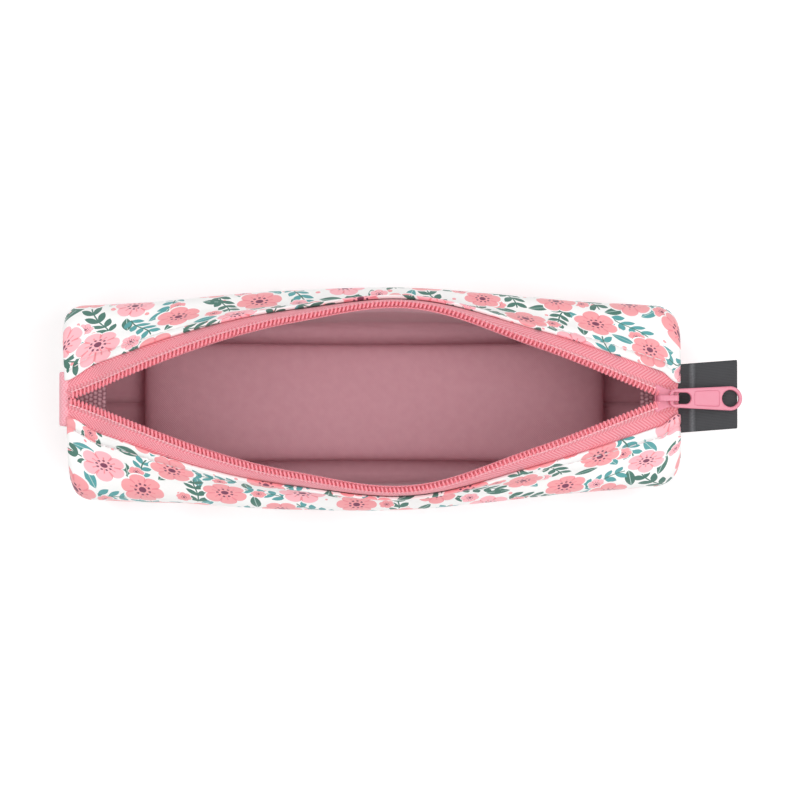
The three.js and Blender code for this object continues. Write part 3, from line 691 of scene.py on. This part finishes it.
def printed_leather():
    """White faux leather with a scattered print of blossoms, sprigs, broad leaves, buds and dots."""
    graph = Graph("printed_faux_leather", Specular_IOR_Level=0.4, Sheen_Weight=0.05)
    plane = slanted(graph, graph.uv(), 33)
    half = GRID / UV_UNIT / 2
    far = 17 * GRID / UV_UNIT
    colour = dots(graph, plane, WHITE)
    colour = single_leaves(graph, plane, (half + far, 0, 0), colour)
    colour = single_leaves(graph, plane, (0, half + 2 * far, 0), colour)
    colour = sprigs(graph, plane, (half + 3 * far, half, 0), colour)
    colour = blossoms(graph, plane, (half + 5 * far, 0.42 * half, 0), 2.6, 0.9, colour)
    colour = blossoms(graph, plane, (0, 0, 0), 6.4, 1.9, colour)
    grain = graph.noise(graph.uv(), 28.0, 4.0)
    return graph.surface(colour, grain * 0.14 + 0.38, grain, 0.12, 0.5)


def twill(name, light, dark, pitch):
    """Diagonal ribs of a fine twill."""
    graph = Graph(name, Sheen_Weight=0.25, Sheen_Roughness=0.4, Specular_IOR_Level=0.3)
    u, v, _ = graph.split(graph.uv())
    rib = graph.waves((u + v) * (UV_UNIT / pitch))
    yarn = graph.waves((u - v * 0.6) * (UV_UNIT / (pitch * 0.8)))
    height = rib * 0.7 + yarn * 0.3
    patches = graph.noise(graph.uv(), 3.0)
    colour = graph.mix(height * 0.4 + patches * 0.5, dark, light)
    return graph.surface(colour, 0.75 - rib * 0.12, height, 0.12, 0.5)


def herringbone(name, light, dark, pitch, band):
    """Tape weave: ribs that change direction from one narrow band to the next."""
    graph = Graph(name, Sheen_Weight=0.3, Sheen_Roughness=0.5, Specular_IOR_Level=0.25)
    u, v, _ = graph.split(graph.uv())
    zigzag = graph.waves(v * (UV_UNIT / (2 * band))) * (band / UV_UNIT)
    rib = graph.waves((u + zigzag) * (UV_UNIT / pitch))
    thread = graph.waves(v * (UV_UNIT / (0.55 * pitch)))
    height = rib * 0.75 + thread * 0.25
    return graph.surface(graph.mix(height, dark, light), 0.86 - rib * 0.1, height, 0.22, 0.8)


def basket(name, light, dark, pitch):
    """Coarse uneven weave of a binding: short floats, each row set half a step on."""
    graph = Graph(name, Sheen_Weight=0.2, Sheen_Roughness=0.5, Specular_IOR_Level=0.25)
    u, v, _ = graph.split(graph.uv())
    wobble = graph.noise(graph.uv(), 5.0) * 1.1
    row = u * (UV_UNIT / pitch) + wobble * 0.5
    step = graph.math("FLOOR", row) * 0.5
    over = graph.waves(v * (UV_UNIT / pitch) + step + wobble)
    across = graph.waves(row)
    height = graph.math("SQRT", over * across)
    return graph.surface(graph.mix(height, dark, light), 0.9 - over * 0.1, height, 0.3, 0.8)


def ribbed_label():
    """Dark ribbed weave with a lighter line along the crease of both plies: painted sheen on the fold, partly
    wear.
    """
    rib_pitch = 0.55
    pick_pitch = 0.4
    crease_width = 1.3
    graph = Graph("label_weave", Sheen_Weight=0.1, Sheen_Roughness=0.35, Specular_IOR_Level=0.45)
    u, v, _ = graph.split(graph.uv())
    row = v * (UV_UNIT / rib_pitch)
    rib = graph.waves(row)
    pick = graph.waves(u * (UV_UNIT / pick_pitch) + graph.math("FLOOR", row) * 0.5)
    height = rib * 0.6 + pick * 0.4
    worn = graph.noise(graph.uv(), 2.0)
    cloth = graph.mix(height * 0.5 + worn * 0.3, CHARCOAL, CHARCOAL_LIGHT)
    # Painted highlight: a lighter grey band along the crease, sheen on the fold with some wear
    from_fold = abs(u * UV_UNIT - LABEL_LENGTH)
    from_crease = abs(from_fold - (LABEL_LENGTH - LABEL_CREASE)) / crease_width
    crease = graph.math("MAXIMUM", 1 - from_crease, 0.0) * graph.noise(graph.uv(), 14.0)
    return graph.surface(graph.mix(crease, cloth, CREASE_SHEEN_GREY), 0.62 - rib * 0.16, height, 0.12, 0.7)


def mottled(name, light, dark, scale, rough, rough_range, depth, strength, **constants):
    """Plain material whose shade, roughness and grain all follow one noise."""
    graph = Graph(name, **constants)
    grain = graph.noise(graph.place(), scale)
    return graph.surface(graph.mix(grain, dark, light), grain * rough_range + rough, grain, depth, strength)


SMOOTH = dict(rough_range=0.16, depth=0.03, strength=0.3, Specular_IOR_Level=0.5, Coat_Roughness=0.2)
POROUS = dict(scale=1500.0, rough=0.85, rough_range=0.1, depth=0.2, strength=0.6, Specular_IOR_Level=0.2)
SPUN = dict(scale=2600.0, rough=0.6, rough_range=0.2, depth=0.05, strength=0.5, Specular_IOR_Level=0.3,
            Sheen_Weight=0.3, Sheen_Roughness=0.4)

LEATHER_SKIN = printed_leather()
LINING_CLOTH = twill("lining_twill", LINING, LINING_DARK, 0.7)
SLEEVE_CLOTH = twill("sleeve_twill", LINING, LINING_DARK, 0.8)
TAPE_CLOTH = herringbone("zip_tape", PALE_CORAL, CORAL, 1.2, 3.4)
RIBBON_CLOTH = herringbone("tab_ribbon", RIBBON, RIBBON_DARK, 1.2, 1.2)
BINDING_CLOTH = basket("seam_binding", BINDING, BINDING_DARK, 1.5)
LABEL_CLOTH = ribbed_label()
COIL_NYLON = mottled("zip_coil", COIL_LIGHT, COIL, 900.0, 0.36, **SMOOTH)
SLIDER_PAINT = mottled("zip_paint", PAINT, PAINT_DARK, 260.0, 0.34, Coat_Weight=0.35, **SMOOTH)
FOAM_FILL = mottled("insulation_foam", FOAM, FOAM_DARK, **POROUS)
GEL_FILM = mottled("gel_film", GEL, GEL_DARK, 120.0, 0.16, Coat_Weight=0.2, **SMOOTH)
WHITE_THREAD = mottled("stitch_thread", THREAD, THREAD_DARK, **SPUN)
PINK_THREAD = mottled("coil_thread", COIL_THREAD, PALE_CORAL, **SPUN)


# Soft walls: each half of the wrap and its flap is one sheet, from the middle of the base to the zip

WALL_MARKS = section_marks(4, 6, 9, 3, 7) + spread("top", 5)
BRIM_STEPS = (5.6, 4.9, 4.4, TOPSTITCH, 3.6, 3.1, 2.2, 1.1, 0.45, 0.0)
SHELL_MARKS = WALL_MARKS + [("brim", step) for step in BRIM_STEPS]


def lengthwise_noise(x, s):
    """Gentle unevenness of a hand-filled panel, from -1 to 1."""
    slow = math.sin(0.061 * x + 1.7 + 0.21 * s) * math.cos(0.093 * s - 0.027 * x)
    quick = math.sin(0.173 * x - 0.6 + 0.35 * s) * math.sin(0.27 * s + 0.05 * x + 0.8)
    return 0.65 * slow + 0.35 * quick


def shell_swell(x, mark, length):
    """How far the printed skin stands proud: padded walls, a sewn groove and a full folded edge."""
    foot_swell = 0.2
    wall_swell = 0.75
    top_swell = 0.4
    brim_swell = 0.35
    groove_depth = 0.75
    pucker_height = 0.1
    pucker_pitch = 3.3
    unevenness = 0.3
    fade_length = 22.0
    segment, t = mark
    fade = smoothstep((LAYER_END - abs(x)) / fade_length)
    uneven = unevenness * lengthwise_noise(x, length) * fade
    if segment == "base":
        return 0.0
    if segment == "foot":
        return t * foot_swell * fade
    if segment == "wall":
        return (foot_swell + wall_swell * math.sin(math.pi * t)) * fade + uneven * t
    if segment in ("rise", "corner"):
        return (foot_swell + (top_swell - foot_swell) * t) * fade + uneven
    if segment == "top":
        return top_swell * fade + uneven + 0.25 * t
    groove = groove_depth * bell((t - TOPSTITCH) / 0.5)
    pucker = pucker_height * math.sin(FULL_TURN * x / pucker_pitch) * bell((t - TOPSTITCH) / 1.6)
    brim = brim_swell * math.sin(math.pi * min(1.0, t / TOPSTITCH))
    return 0.3 * fade + brim + pucker - groove


def sway(x, mark, side):
    """Sideways lean of the soft front wall: out at the left end and drawn in at the right."""
    segment, t = mark
    shares = {"base": t, "foot": 1.0, "wall": 1.0, "rise": 1.0, "corner": 1 - 0.5 * t, "top": 0.5 - 0.5 * t}
    return FRONT_SWAY * x / HALF_LENGTH * shares.get(segment, 0.0) * (side < 0)


def skew(x, y):
    """Lean of the soft left end in plan: its front corner lies further in than its back one."""
    return LEFT_SKEW * -y / HALF_WIDTH * smoothstep((-x - SKEW_START) / SKEW_LENGTH)


def wall_sheet(name, side, marks, xs, outer, inner):
    """Closed sheet over one half of the case between two depths, each a number or a function."""
    lengths = run_along([section_point(0.0, *mark)[:2] for mark in marks])
    points = []
    weights = []
    uv = []
    for depth in (outer, inner):
        for x in xs:
            for mark, length in zip(marks, lengths):
                under = depth(x, mark, length) if callable(depth) else depth
                px, py, pz, weight = half_point(x, mark, under)
                py = side * py + sway(x, mark, side)
                points.append((px + skew(px, py), py, pz))
                weights.append(weight)
                uv.append((px, side * (length + under)))
    piece = make(name, points, thick_faces(len(xs), len(marks)), uv)
    return piece, weights


def wall_layer(name, marks, xs, outer, inner, material, node, wall_node=None):
    """Front and back sheet of one layer. The front one also stands for the CAD node of the whole wall."""
    pieces = []
    for word, side in SIDES:
        piece, weights = wall_sheet(f"{word}_{name}", side, marks, xs, outer, inner)
        nodes = [f"{word}_{node}"]
        if wall_node and word == "front":
            nodes.insert(0, wall_node)
        finish_flap_piece(piece, material, nodes, side)
        pieces.append(piece)
    return pieces


def end_sink(x):
    """The skin rolls in at both ends, down to the seam on the end face."""
    past = max(0.0, abs(x) - (SHELL_END - END_ROLL))
    return END_ROLL - math.sqrt(max(0.0, END_ROLL ** 2 - past ** 2))


def end_stations(end, count):
    """Stations of a sheet that rolls in at both ends."""
    roll = [end - END_ROLL * (1 - math.sin(a)) for a in np.linspace(0, math.pi / 2, 6)]
    return [-x for x in roll[::-1]] + list(stations(end - END_ROLL - 0.3, count)) + roll


def shells():
    """Printed skin of both halves, which rolls in to the end seams."""
    def outer(x, mark, length):
        return end_sink(x) - shell_swell(x, mark, length)

    def inner(x, mark, length):
        return SHELL + end_sink(x)

    xs = end_stations(SHELL_END, 121)
    pieces = wall_layer("shell", SHELL_MARKS, xs, outer, inner,
                        LEATHER_SKIN, "flap_outer", "outer_wrap")
    for piece in pieces:
        keep_middle_square(piece)
        subdivide(piece)


def foam_walls():
    marks = section_marks(3, 4, 5, 2, 5) + spread("top", 3)[:-1]
    xs = stations(LAYER_END - 0.4, 61)
    pieces = wall_layer("foam", marks, xs, FOAM_DEPTH, FOAM_INSIDE,
                        FOAM_FILL, "flap_insulation", "wrap_insulation")


def linings():
    """Twill lining with soft hollows, which rises to the tape along the zip."""
    turn_offset = 13.9
    rise_offset = 10.6
    edge_offset = FABRIC_EDGE + 0.3
    edge_depth = 2.8
    hollow = 0.35
    fade_length = 20.0
    marks = WALL_MARKS[:-1]
    marks = marks + [("row", offset) for offset in np.linspace(turn_offset, edge_offset, 8)]

    def inner(x, mark, length):
        segment, t = mark
        if segment == "row":
            raised = 1 - smoothstep((t - rise_offset) / (turn_offset - rise_offset))
            return WALL_DEPTH - (WALL_DEPTH - edge_depth) * raised
        if segment == "base":
            return WALL_DEPTH
        fade = smoothstep((LINING_END - abs(x)) / fade_length)
        return WALL_DEPTH + hollow * lengthwise_noise(x * 1.4 + 9, length * 1.2) * fade

    def outer(x, mark, length):
        return inner(x, mark, length) - LINING_THICKNESS

    xs = stations(LINING_END, 101)
    pieces = wall_layer("lining", marks, xs, outer, inner,
                        LINING_CLOTH, "flap_lining", "lining_wrap")
    for piece in pieces:
        keep_middle_square(piece)
        subdivide(piece)


# Ends

END_PRINT_SHIFT = 170


def end_ring(x, depth, marks):
    """Whole outline of the closed section at one end, at a depth, as a loop of points."""
    back = []
    front = []
    for segment, t in marks:
        y, z, inward_y, inward_z, _ = section_point(x, segment, t)
        if segment == "row":
            y = t
            z = HEIGHT
        y += inward_y * depth
        z += inward_z * depth
        back.append((y, z))
        front.append((sway(x, (segment, t), -1) - y, z))
    return back + front[-2:0:-1]


def end_plate(name, side, rings, slices, material, nodes, crown, outline):
    """Closed plate through rings given as (x, depth), capped by rings that shrink towards its middle.

    The rings follow the outline of the closed section at a length given from the middle of the case.
    """
    marks = section_marks(5, 5, 8, 2, 6) + [("row", y) for y in (15.0, 10.0, 5.0, 0.0)]
    middle = HEIGHT / 2
    loops = [(x, depth, 1.0) for x, depth in rings]
    face_x, face_depth = rings[-1]
    for k in range(1, slices + 1):
        share = 1 - k / (slices + 1)
        loops.append((face_x + crown * (1 - share ** 2), face_depth, share))
    points = []
    for x, depth, share in loops:
        for y, z in end_ring(side * outline, depth, marks):
            lean = skew(side * x, y * share)
            points.append((side * x + lean, y * share, middle + (z - middle) * share))
    uv = [(y + side * END_PRINT_SHIFT, z) for _, y, z in points]
    piece = make(name, points, ring_faces(len(loops), len(points) // len(loops)), uv)
    subdivide(piece)
    return finish_piece(piece, material, nodes)


def ends():
    """Printed panel, foam and lining of each end."""
    face = HALF_LENGTH
    panel_rings = [(face - 2.4, 3.2), (face - 1.0, 3.1), (face - 0.6, 2.7), (face - 0.35, 2.4)]
    panel_rings += [(face - 0.15, 2.6), (face, 3.2), (face + 0.05, 4.6)]
    foam_rings = [(LAYER_END - 2.9, LINING_DEPTH + 0.3), (LAYER_END - 1.7, LINING_DEPTH + 0.3)]
    inside = END_LINING_INSIDE
    lining_rings = [(inside + 0.65, 5.7), (inside + 0.55, 5.5), (inside + 0.1, 5.6), (inside - 0.05, 7.0)]
    for word, side in ENDS:
        end_plate(f"{word}_end", side, panel_rings, 5, LEATHER_SKIN,
                  [f"{word}_end_panel"], crown=0.2, outline=face - 1)
        foam = end_plate(f"{word}_end_foam", side, foam_rings, 3, FOAM_FILL,
                         [f"{word}_end_insulation"], crown=0.2, outline=LAYER_END - 1.7)
        end_plate(f"{word}_end_inside", side, lining_rings, 7, LINING_CLOTH,
                  [f"{word}_end_lining"], crown=-3.0, outline=inside)


def bindings():
    """Coarse woven strip under each end of the zip: from the end seam it runs in and slopes down."""
    thickness = 0.8
    ripple_height = 0.2
    roll_height = 0.3
    for word, side in ENDS:
        low, high = box_mm(f"{word}_seam_binding")
        inside, outside = sorted((abs(low[0]), abs(high[0])))
        line_x = [inside, outside, outside + 1.2, LAYER_END - 0.4, LAYER_END + 0.1, LAYER_END + 0.2]
        line_z = [low[2] + thickness, high[2], high[2] + 0.6, high[2] + 1.5, high[2] + 2.3, high[2] + 3.5]
        upper = [LAYER_END + 0.2, LAYER_END + 0.1, *np.linspace(LAYER_END - 0.4, outside + 0.4, 8)]
        xs = np.concatenate([upper, np.linspace(outside, inside, 13)])
        ys = np.linspace(low[1], high[1], 61)
        points = []
        uv = []
        for face in (0.0, thickness):
            for y in ys:
                for x in xs:
                    share = (outside - x) / (outside - inside)
                    ripple = ripple_height * math.sin(y * 0.5) * math.sin(max(0.0, share) * 3.1)
                    roll = roll_height * max(0.0, 2 * share - 1) ** 4
                    z = np.interp(x, line_x, line_z) - face - (ripple + roll) * (face == 0)
                    points.append((side * x, y, z))
                    uv.append((x, y))
        piece = make(f"{word}_binding", points, thick_faces(len(ys), len(xs)), uv)
        subdivide(piece)
        finish_piece(piece, BINDING_CLOTH, [f"{word}_seam_binding"])


# Zip

def tapes():
    """Woven tape under each row, with a raised cord where the coil is sewn and a groove beside it."""
    cord_height = 0.95
    cord_offset = 1.95
    cord_width = 0.55
    groove_depth = 0.3
    groove_offset = 3.2
    groove_width = 0.25
    offsets = (12.6, 11.0, 9.2, 7.8, 6.4, 5.0, 4.0, 3.5, 3.2, 2.9, 2.6, 2.3, 2.0, 1.7, 1.4, 1.1, 0.5, -0.55)
    marks = [("row", offset) for offset in offsets]

    def outer(x, mark, length):
        cord = cord_height * bell((mark[1] - cord_offset) / cord_width)
        groove = groove_depth * bell((mark[1] - groove_offset) / groove_width)
        return TAPE_DEPTH - cord + groove + end_sink(x)

    def inner(x, mark, length):
        return TAPE_DEPTH + TAPE_THICKNESS + end_sink(x)

    xs = end_stations(SHELL_END - 0.3, 121)
    for piece in wall_layer("tape", marks, xs, outer, inner, TAPE_CLOTH, "zip_tape"):
        subdivide(piece)


def square_to_row(x, offset):
    """Length and offset that make a short line across the row stand square to it when the zip is open."""
    half = 0.5
    along = np.subtract(row_point(x + half, 0, 0)[:3], row_point(x - half, 0, 0)[:3])
    across = np.subtract(row_point(x, half, 0)[:3], row_point(x, -half, 0)[:3])
    lean = across.dot(along) / along.dot(along)
    width = math.sqrt(max(0.2, across.dot(across) - lean ** 2 * along.dot(along)))
    return x - offset * lean / width, offset / width


def row_tubes(name, word, side, lines, radius, sides, material, nodes):
    """One piece of tubes along lines of places, each given as (x, offset, height) beside a row."""
    points = []
    faces = []
    weights = []
    for places in lines:
        path = []
        for x, offset, height in places:
            px, py, pz, weight = row_point(x, offset, height)
            path.append((px, side * py, pz))
            weights += [weight] * sides
        tube_points, tube_faces = tube(path, radius, sides)
        faces += [[len(points) + v for v in face] for face in tube_faces]
        points += tube_points
    piece = make(f"{word}_{name}", points, faces)
    finish_flap_piece(piece, material, nodes, side)


def coils():
    """Nylon coil along each tape: a flattened helix, sewn down by a pale thread over its loops."""
    wire = 0.4
    half_loop = 1.05
    half_height = 0.6
    middle_height = -0.22
    steps = 14
    thread_line = 1.3
    thread_height = -0.05
    thread_radius = 0.3
    thread_swell = 0.17
    reach = LAYER_END - 0.8
    for word, side in SIDES:
        phase = 0.0 if side < 0 else 0.5
        turns = int(2 * reach / TOOTH_PITCH - 1)
        places = []
        thread = []
        beads = []
        for k in range(turns * steps + 1):
            a = FULL_TURN * k / steps
            x = -reach + (phase + k / steps) * TOOTH_PITCH
            place_x, offset = square_to_row(x, -half_loop * math.cos(a))
            places.append((place_x, offset, middle_height + half_height * math.sin(a)))
            if k % 2 == 0:
                thread_x, thread_offset = square_to_row(x, thread_line)
                thread.append((thread_x, thread_offset, thread_height))
                beads.append(thread_radius + thread_swell * math.sin(a))
        row_tubes("coil", word, side, [places], wire, 6, COIL_NYLON, [f"{word}_zip_teeth"])
        row_tubes("coil_thread", word, side, [thread], beads, 7, PINK_THREAD, [])


def topstitches():
    """Row of separate stitches in the groove beside each folded edge."""
    stitch = 2.5
    gap = 0.8
    radius = 0.2
    fine = np.linspace(-LAYER_END + 2, LAYER_END - 2, 1200)
    mark = ("brim", TOPSTITCH)
    line = np.array([half_point(x, mark, 0)[:3] for x in fine])
    run = run_along(line)
    dips = (0.5, 0.28, 0.2, 0.28, 0.5)
    lines = []
    for start in np.arange(0, run[-1] - stitch, stitch + gap):
        xs = np.interp(np.linspace(start, start + stitch, len(dips)), run, fine)
        lines.append([(x, fabric_edge(x) + TOPSTITCH, -dip) for x, dip in zip(xs, dips)])
    for word, side in SIDES:
        row_tubes("topstitch", word, side, lines, radius, 6, WHITE_THREAD, [])


def rounded_copy(name, node, voxel, passes):
    """Cast and painted form of a CAD node: its own shape with every edge softly rounded."""
    mesh = frame["nodes"][node].data.copy()
    mesh.materials.clear()
    fresh = add_object(name, mesh)
    remesh = fresh.modifiers.new("Remesh", "REMESH")
    remesh.mode = "VOXEL"
    remesh.voxel_size = voxel * MM
    remesh.use_smooth_shade = True
    smooth = fresh.modifiers.new("Smooth", "SMOOTH")
    smooth.factor = 0.5
    smooth.iterations = passes
    evaluated = fresh.evaluated_get(bpy.context.evaluated_depsgraph_get())
    fresh.data = bpy.data.meshes.new_from_object(evaluated)
    fresh.modifiers.clear()
    shade_smooth(fresh.data)
    return fresh


def slider_and_pull():
    slider = rounded_copy("zip_slider", "slider_body", 0.14, 4)
    finish_piece(slider, SLIDER_PAINT, ["slider_body"], "slider")
    pull = rounded_copy("zip_pull", "pull_tab", 0.12, 3)
    finish_piece(pull, SLIDER_PAINT, ["pull_tab"], "pull")


# Sewn-in loops

def folded_strip(name, centre, ply, width, material, node):
    """Strip folded in two along a centre line of its fold, as one bent sheet that lies across in Y."""
    columns = 15
    across = np.array([0, 1.0, 0])
    spans = np.linspace(-0.5, 0.5, columns)
    points = []
    uv = []
    for face in (0.5, -0.5):
        for place, tangent, length in zip(centre, unit_tangents(centre), run_along(centre)):
            normal = np.cross(tangent, across)
            for span in spans:
                points.append(place + across * (span * width) + normal * (face * ply))
                uv.append((length, span * width))
    piece = make(name, points, thick_faces(len(centre), columns), uv)
    subdivide(piece)
    finish_piece(piece, material, [node])


def fold_path(there, gap):
    """Whole centre line of a strip folded in two: out along one line, round its fold and back beside it."""
    bend_steps = 7
    there = np.asarray(there, float)
    along = there[-1] - there[-2]
    along /= np.linalg.norm(along)
    aside = np.array([-along[1], along[0]])
    bend = []
    for a in np.linspace(0, math.pi, bend_steps)[1:-1]:
        bend.append(there[-1] + gap / 2 * (1 - math.cos(a)) * aside + abs(gap) / 2 * math.sin(a) * along)
    tangents = unit_tangents(there)
    back = there + gap * np.column_stack([-tangents[:, 1], tangents[:, 0]])
    return np.vstack([there, bend, back[::-1]])


def woven_label():
    """Label that comes straight out of the right end seam, with a crease across it near the seam."""
    low = box_mm("side_label")[0]
    turn_angle = math.radians(4.4)
    width = 24.2
    sewn_in = 2.4
    length = LABEL_LENGTH
    ply = 0.5
    gap = 0.62
    arch = 0.25
    root_drop = 0.8
    root_length = 3.4
    crease_height = 0.7
    crease_width = 1.1
    along = np.array([math.cos(turn_angle), math.sin(turn_angle), 0])
    root = low[0] + width / 2 * math.sin(turn_angle) - sewn_in
    there = []
    for s in np.linspace(0, length - (ply + gap) / 2, 31):
        lift = arch * math.sin(math.pi * s / length) - root_drop * (1 - smoothstep(s / root_length))
        crease = crease_height * bell((s - LABEL_CREASE) / crease_width)
        there.append((s, low[2] + ply / 2 + lift + crease))
    centre = [np.array([root, 0, h]) + along * s for s, h in fold_path(there, gap)]
    folded_strip("woven_label", centre, ply, width, LABEL_CLOTH, "side_label")


def ribbon_tab():
    """Ribbon out of the top of the left end seam: it turns down over the end, folds and comes back up."""
    low, high = box_mm("end_tab")
    width = 19.0
    ply = 0.8
    gap = 0.95
    bend = 2.2
    top = high[2] - ply
    outer_x = low[0] + ply / 2 + 0.15
    turn_x = outer_x + bend
    foot = low[2] + (ply + gap) / 2
    there = [(turn_x + sewn_in, top) for sewn_in in (1.0, 0.5)]
    for a in np.linspace(0, math.pi / 2, 8):
        there.append((turn_x - bend * math.sin(a), top - bend * (1 - math.cos(a))))
    there += [(outer_x, z) for z in np.linspace(top - bend, foot, 17)[1:]]
    centre = [np.array([x, 0, z]) for x, z in fold_path(there, gap)]
    folded_strip("ribbon_tab", centre, ply, width, RIBBON_CLOTH, "end_tab")


# Cold pack and its sleeve

def soft_block(name, node, inset, material):
    """Flat filled bag in a CAD node's box: a crowned form whose sides draw in between its corners."""
    low, high = box_mm(node)
    middle = (low + high) / 2
    half = (high - low) / 2 - inset
    columns = 28
    flat_share = 0.86
    draw_in = 0.035
    end_power = 14
    side_power = 0.35
    crown_power = 0.7
    ripple_height = 0.02
    xs = np.sin(np.linspace(-math.pi / 2, math.pi / 2, 41))
    points = []
    uv = []
    for s in xs:
        edge = math.sqrt(max(0.0, 1 - abs(s) ** end_power))
        draw = 1 - draw_in * math.cos(s * math.pi / 2) ** 2
        for k in range(columns):
            a = FULL_TURN * k / columns
            across = math.copysign(abs(math.cos(a)) ** side_power, math.cos(a))
            upward = math.copysign(abs(math.sin(a)) ** crown_power, math.sin(a))
            ripple = ripple_height * math.sin(17 * s + 3 * across) if upward > 0 else 0
            flat_bottom = max(upward * (edge + ripple), -flat_share)
            x = middle[0] + half[0] * s
            y = middle[1] + half[1] * across * draw * (0.9 + 0.1 * edge)
            z = middle[2] + half[2] * flat_bottom / (1 if upward > 0 else flat_share)
            points.append((x, y, z))
            uv.append((x, y))
    piece = make(name, points, ring_faces(len(xs), columns), uv)
    subdivide(piece)
    finish_piece(piece, material, [node])


def cold_pack():
    soft_block("pack_sleeve", "gel_pack_sleeve", 0.0, SLEEVE_CLOTH)
    soft_block("cold_pack", "gel_pack", 1.0, GEL_FILM)


# Stage

def seen_rays(tree):
    """Socket that is 1 on the rays that show the backdrop: to the camera, off gloss or through film."""
    rays = tree.nodes.new("ShaderNodeLightPath")
    seen = rays.outputs["Is Camera Ray"]
    for kind in ("Is Glossy Ray", "Is Transmission Ray"):
        either = tree.nodes.new("ShaderNodeMath")
        either.operation = "MAXIMUM"
        tree.links.new(seen, either.inputs[0])
        tree.links.new(rays.outputs[kind], either.inputs[1])
        seen = either.outputs[0]
    return seen


def backdrop():
    """Pale floor that keeps the shadow round the case and turns white further off."""
    size = 3.0
    clear_radius = 0.25
    fade_length = 0.6
    near_glow = 0.22
    far_glow = 1.0
    mesh = bpy.data.meshes.new("floor")
    corners = [(-size, -size, 0), (size, -size, 0), (size, size, 0), (-size, size, 0)]
    mesh.from_pydata(corners, [], [(0, 1, 2, 3)])
    floor = add_object("floor", mesh)
    graph = Graph("floor", Base_Color=rgb(246, 246, 246), Roughness=0.9, Specular_IOR_Level=0.1)
    seen = Field(graph, seen_rays(graph.tree))
    x, y, _ = graph.split(graph.place())
    away = (graph.math("SQRT", x * x + y * y) - clear_radius) / fade_length
    away = graph.math("MINIMUM", graph.math("MAXIMUM", away, 0.0), 1.0)
    graph.shader.inputs["Emission Color"].default_value = (1, 1, 1, 1)
    graph.put(graph.shader.inputs["Emission Strength"], seen * (away * (far_glow - near_glow) + near_glow))
    mesh.materials.append(graph.material)
    floor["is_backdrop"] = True


def area_light(name, place, target, size, power):
    data = bpy.data.lights.new(name, "AREA")
    data.shape = "DISK"
    data.size = size
    data.energy = power
    lamp = add_object(name, data)
    lamp.location = place
    lamp.rotation_euler = (Vector(target) - Vector(place)).to_track_quat("-Z", "Y").to_euler()


def lights():
    """Even white surround with a soft key lamp and a softer fill lamp from the other side."""
    world = bpy.data.worlds.new("studio")
    bpy.context.scene.world = world
    world.use_nodes = True
    tree = world.node_tree
    background = tree.nodes["Background"]
    background.inputs["Color"].default_value = (1, 1, 1, 1)
    strength = tree.nodes.new("ShaderNodeMapRange")
    strength.inputs["To Min"].default_value = 0.6
    strength.inputs["To Max"].default_value = 1.0
    tree.links.new(seen_rays(tree), strength.inputs["Value"])
    tree.links.new(strength.outputs[0], background.inputs["Strength"])
    aim = (0, 0, 0.04)
    area_light("key", (0.6, -0.3, 1.45), aim, size=1.1, power=9.0)
    area_light("fill", (-0.6, 0.35, 1.5), aim, size=1.2, power=6.6)


def camera():
    """Nearly straight down on the mouth, with the photograph's framing of 0.35 mm to a pixel."""
    distance = 1.1
    tilt = math.radians(1.5)
    image_width = 800
    pixel = 0.35
    frame_width = image_width * pixel * MM
    target = Vector((0.00945, -0.0005, HEIGHT * MM))
    data = bpy.data.cameras.new("photo_view")
    data.angle = 2 * math.atan(frame_width / 2 / distance)
    view = add_object("photo_view", data)
    view.location = target + Vector((0, -math.sin(tilt), math.cos(tilt))) * distance
    view.rotation_euler = (tilt, 0, 0)
    bpy.context.scene.camera = view


shells()
foam_walls()
linings()
ends()
bindings()
tapes()
coils()
topstitches()
slider_and_pull()
woven_label()
ribbon_tab()
cold_pack()
backdrop()
lights()
camera()
bpy.context.scene.view_settings.view_transform = "Standard"

boxes = {"cad": cad_box, "visual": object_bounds()}
boxes = {name: [list(map(float, corner)) for corner in box] for name, box in boxes.items()}
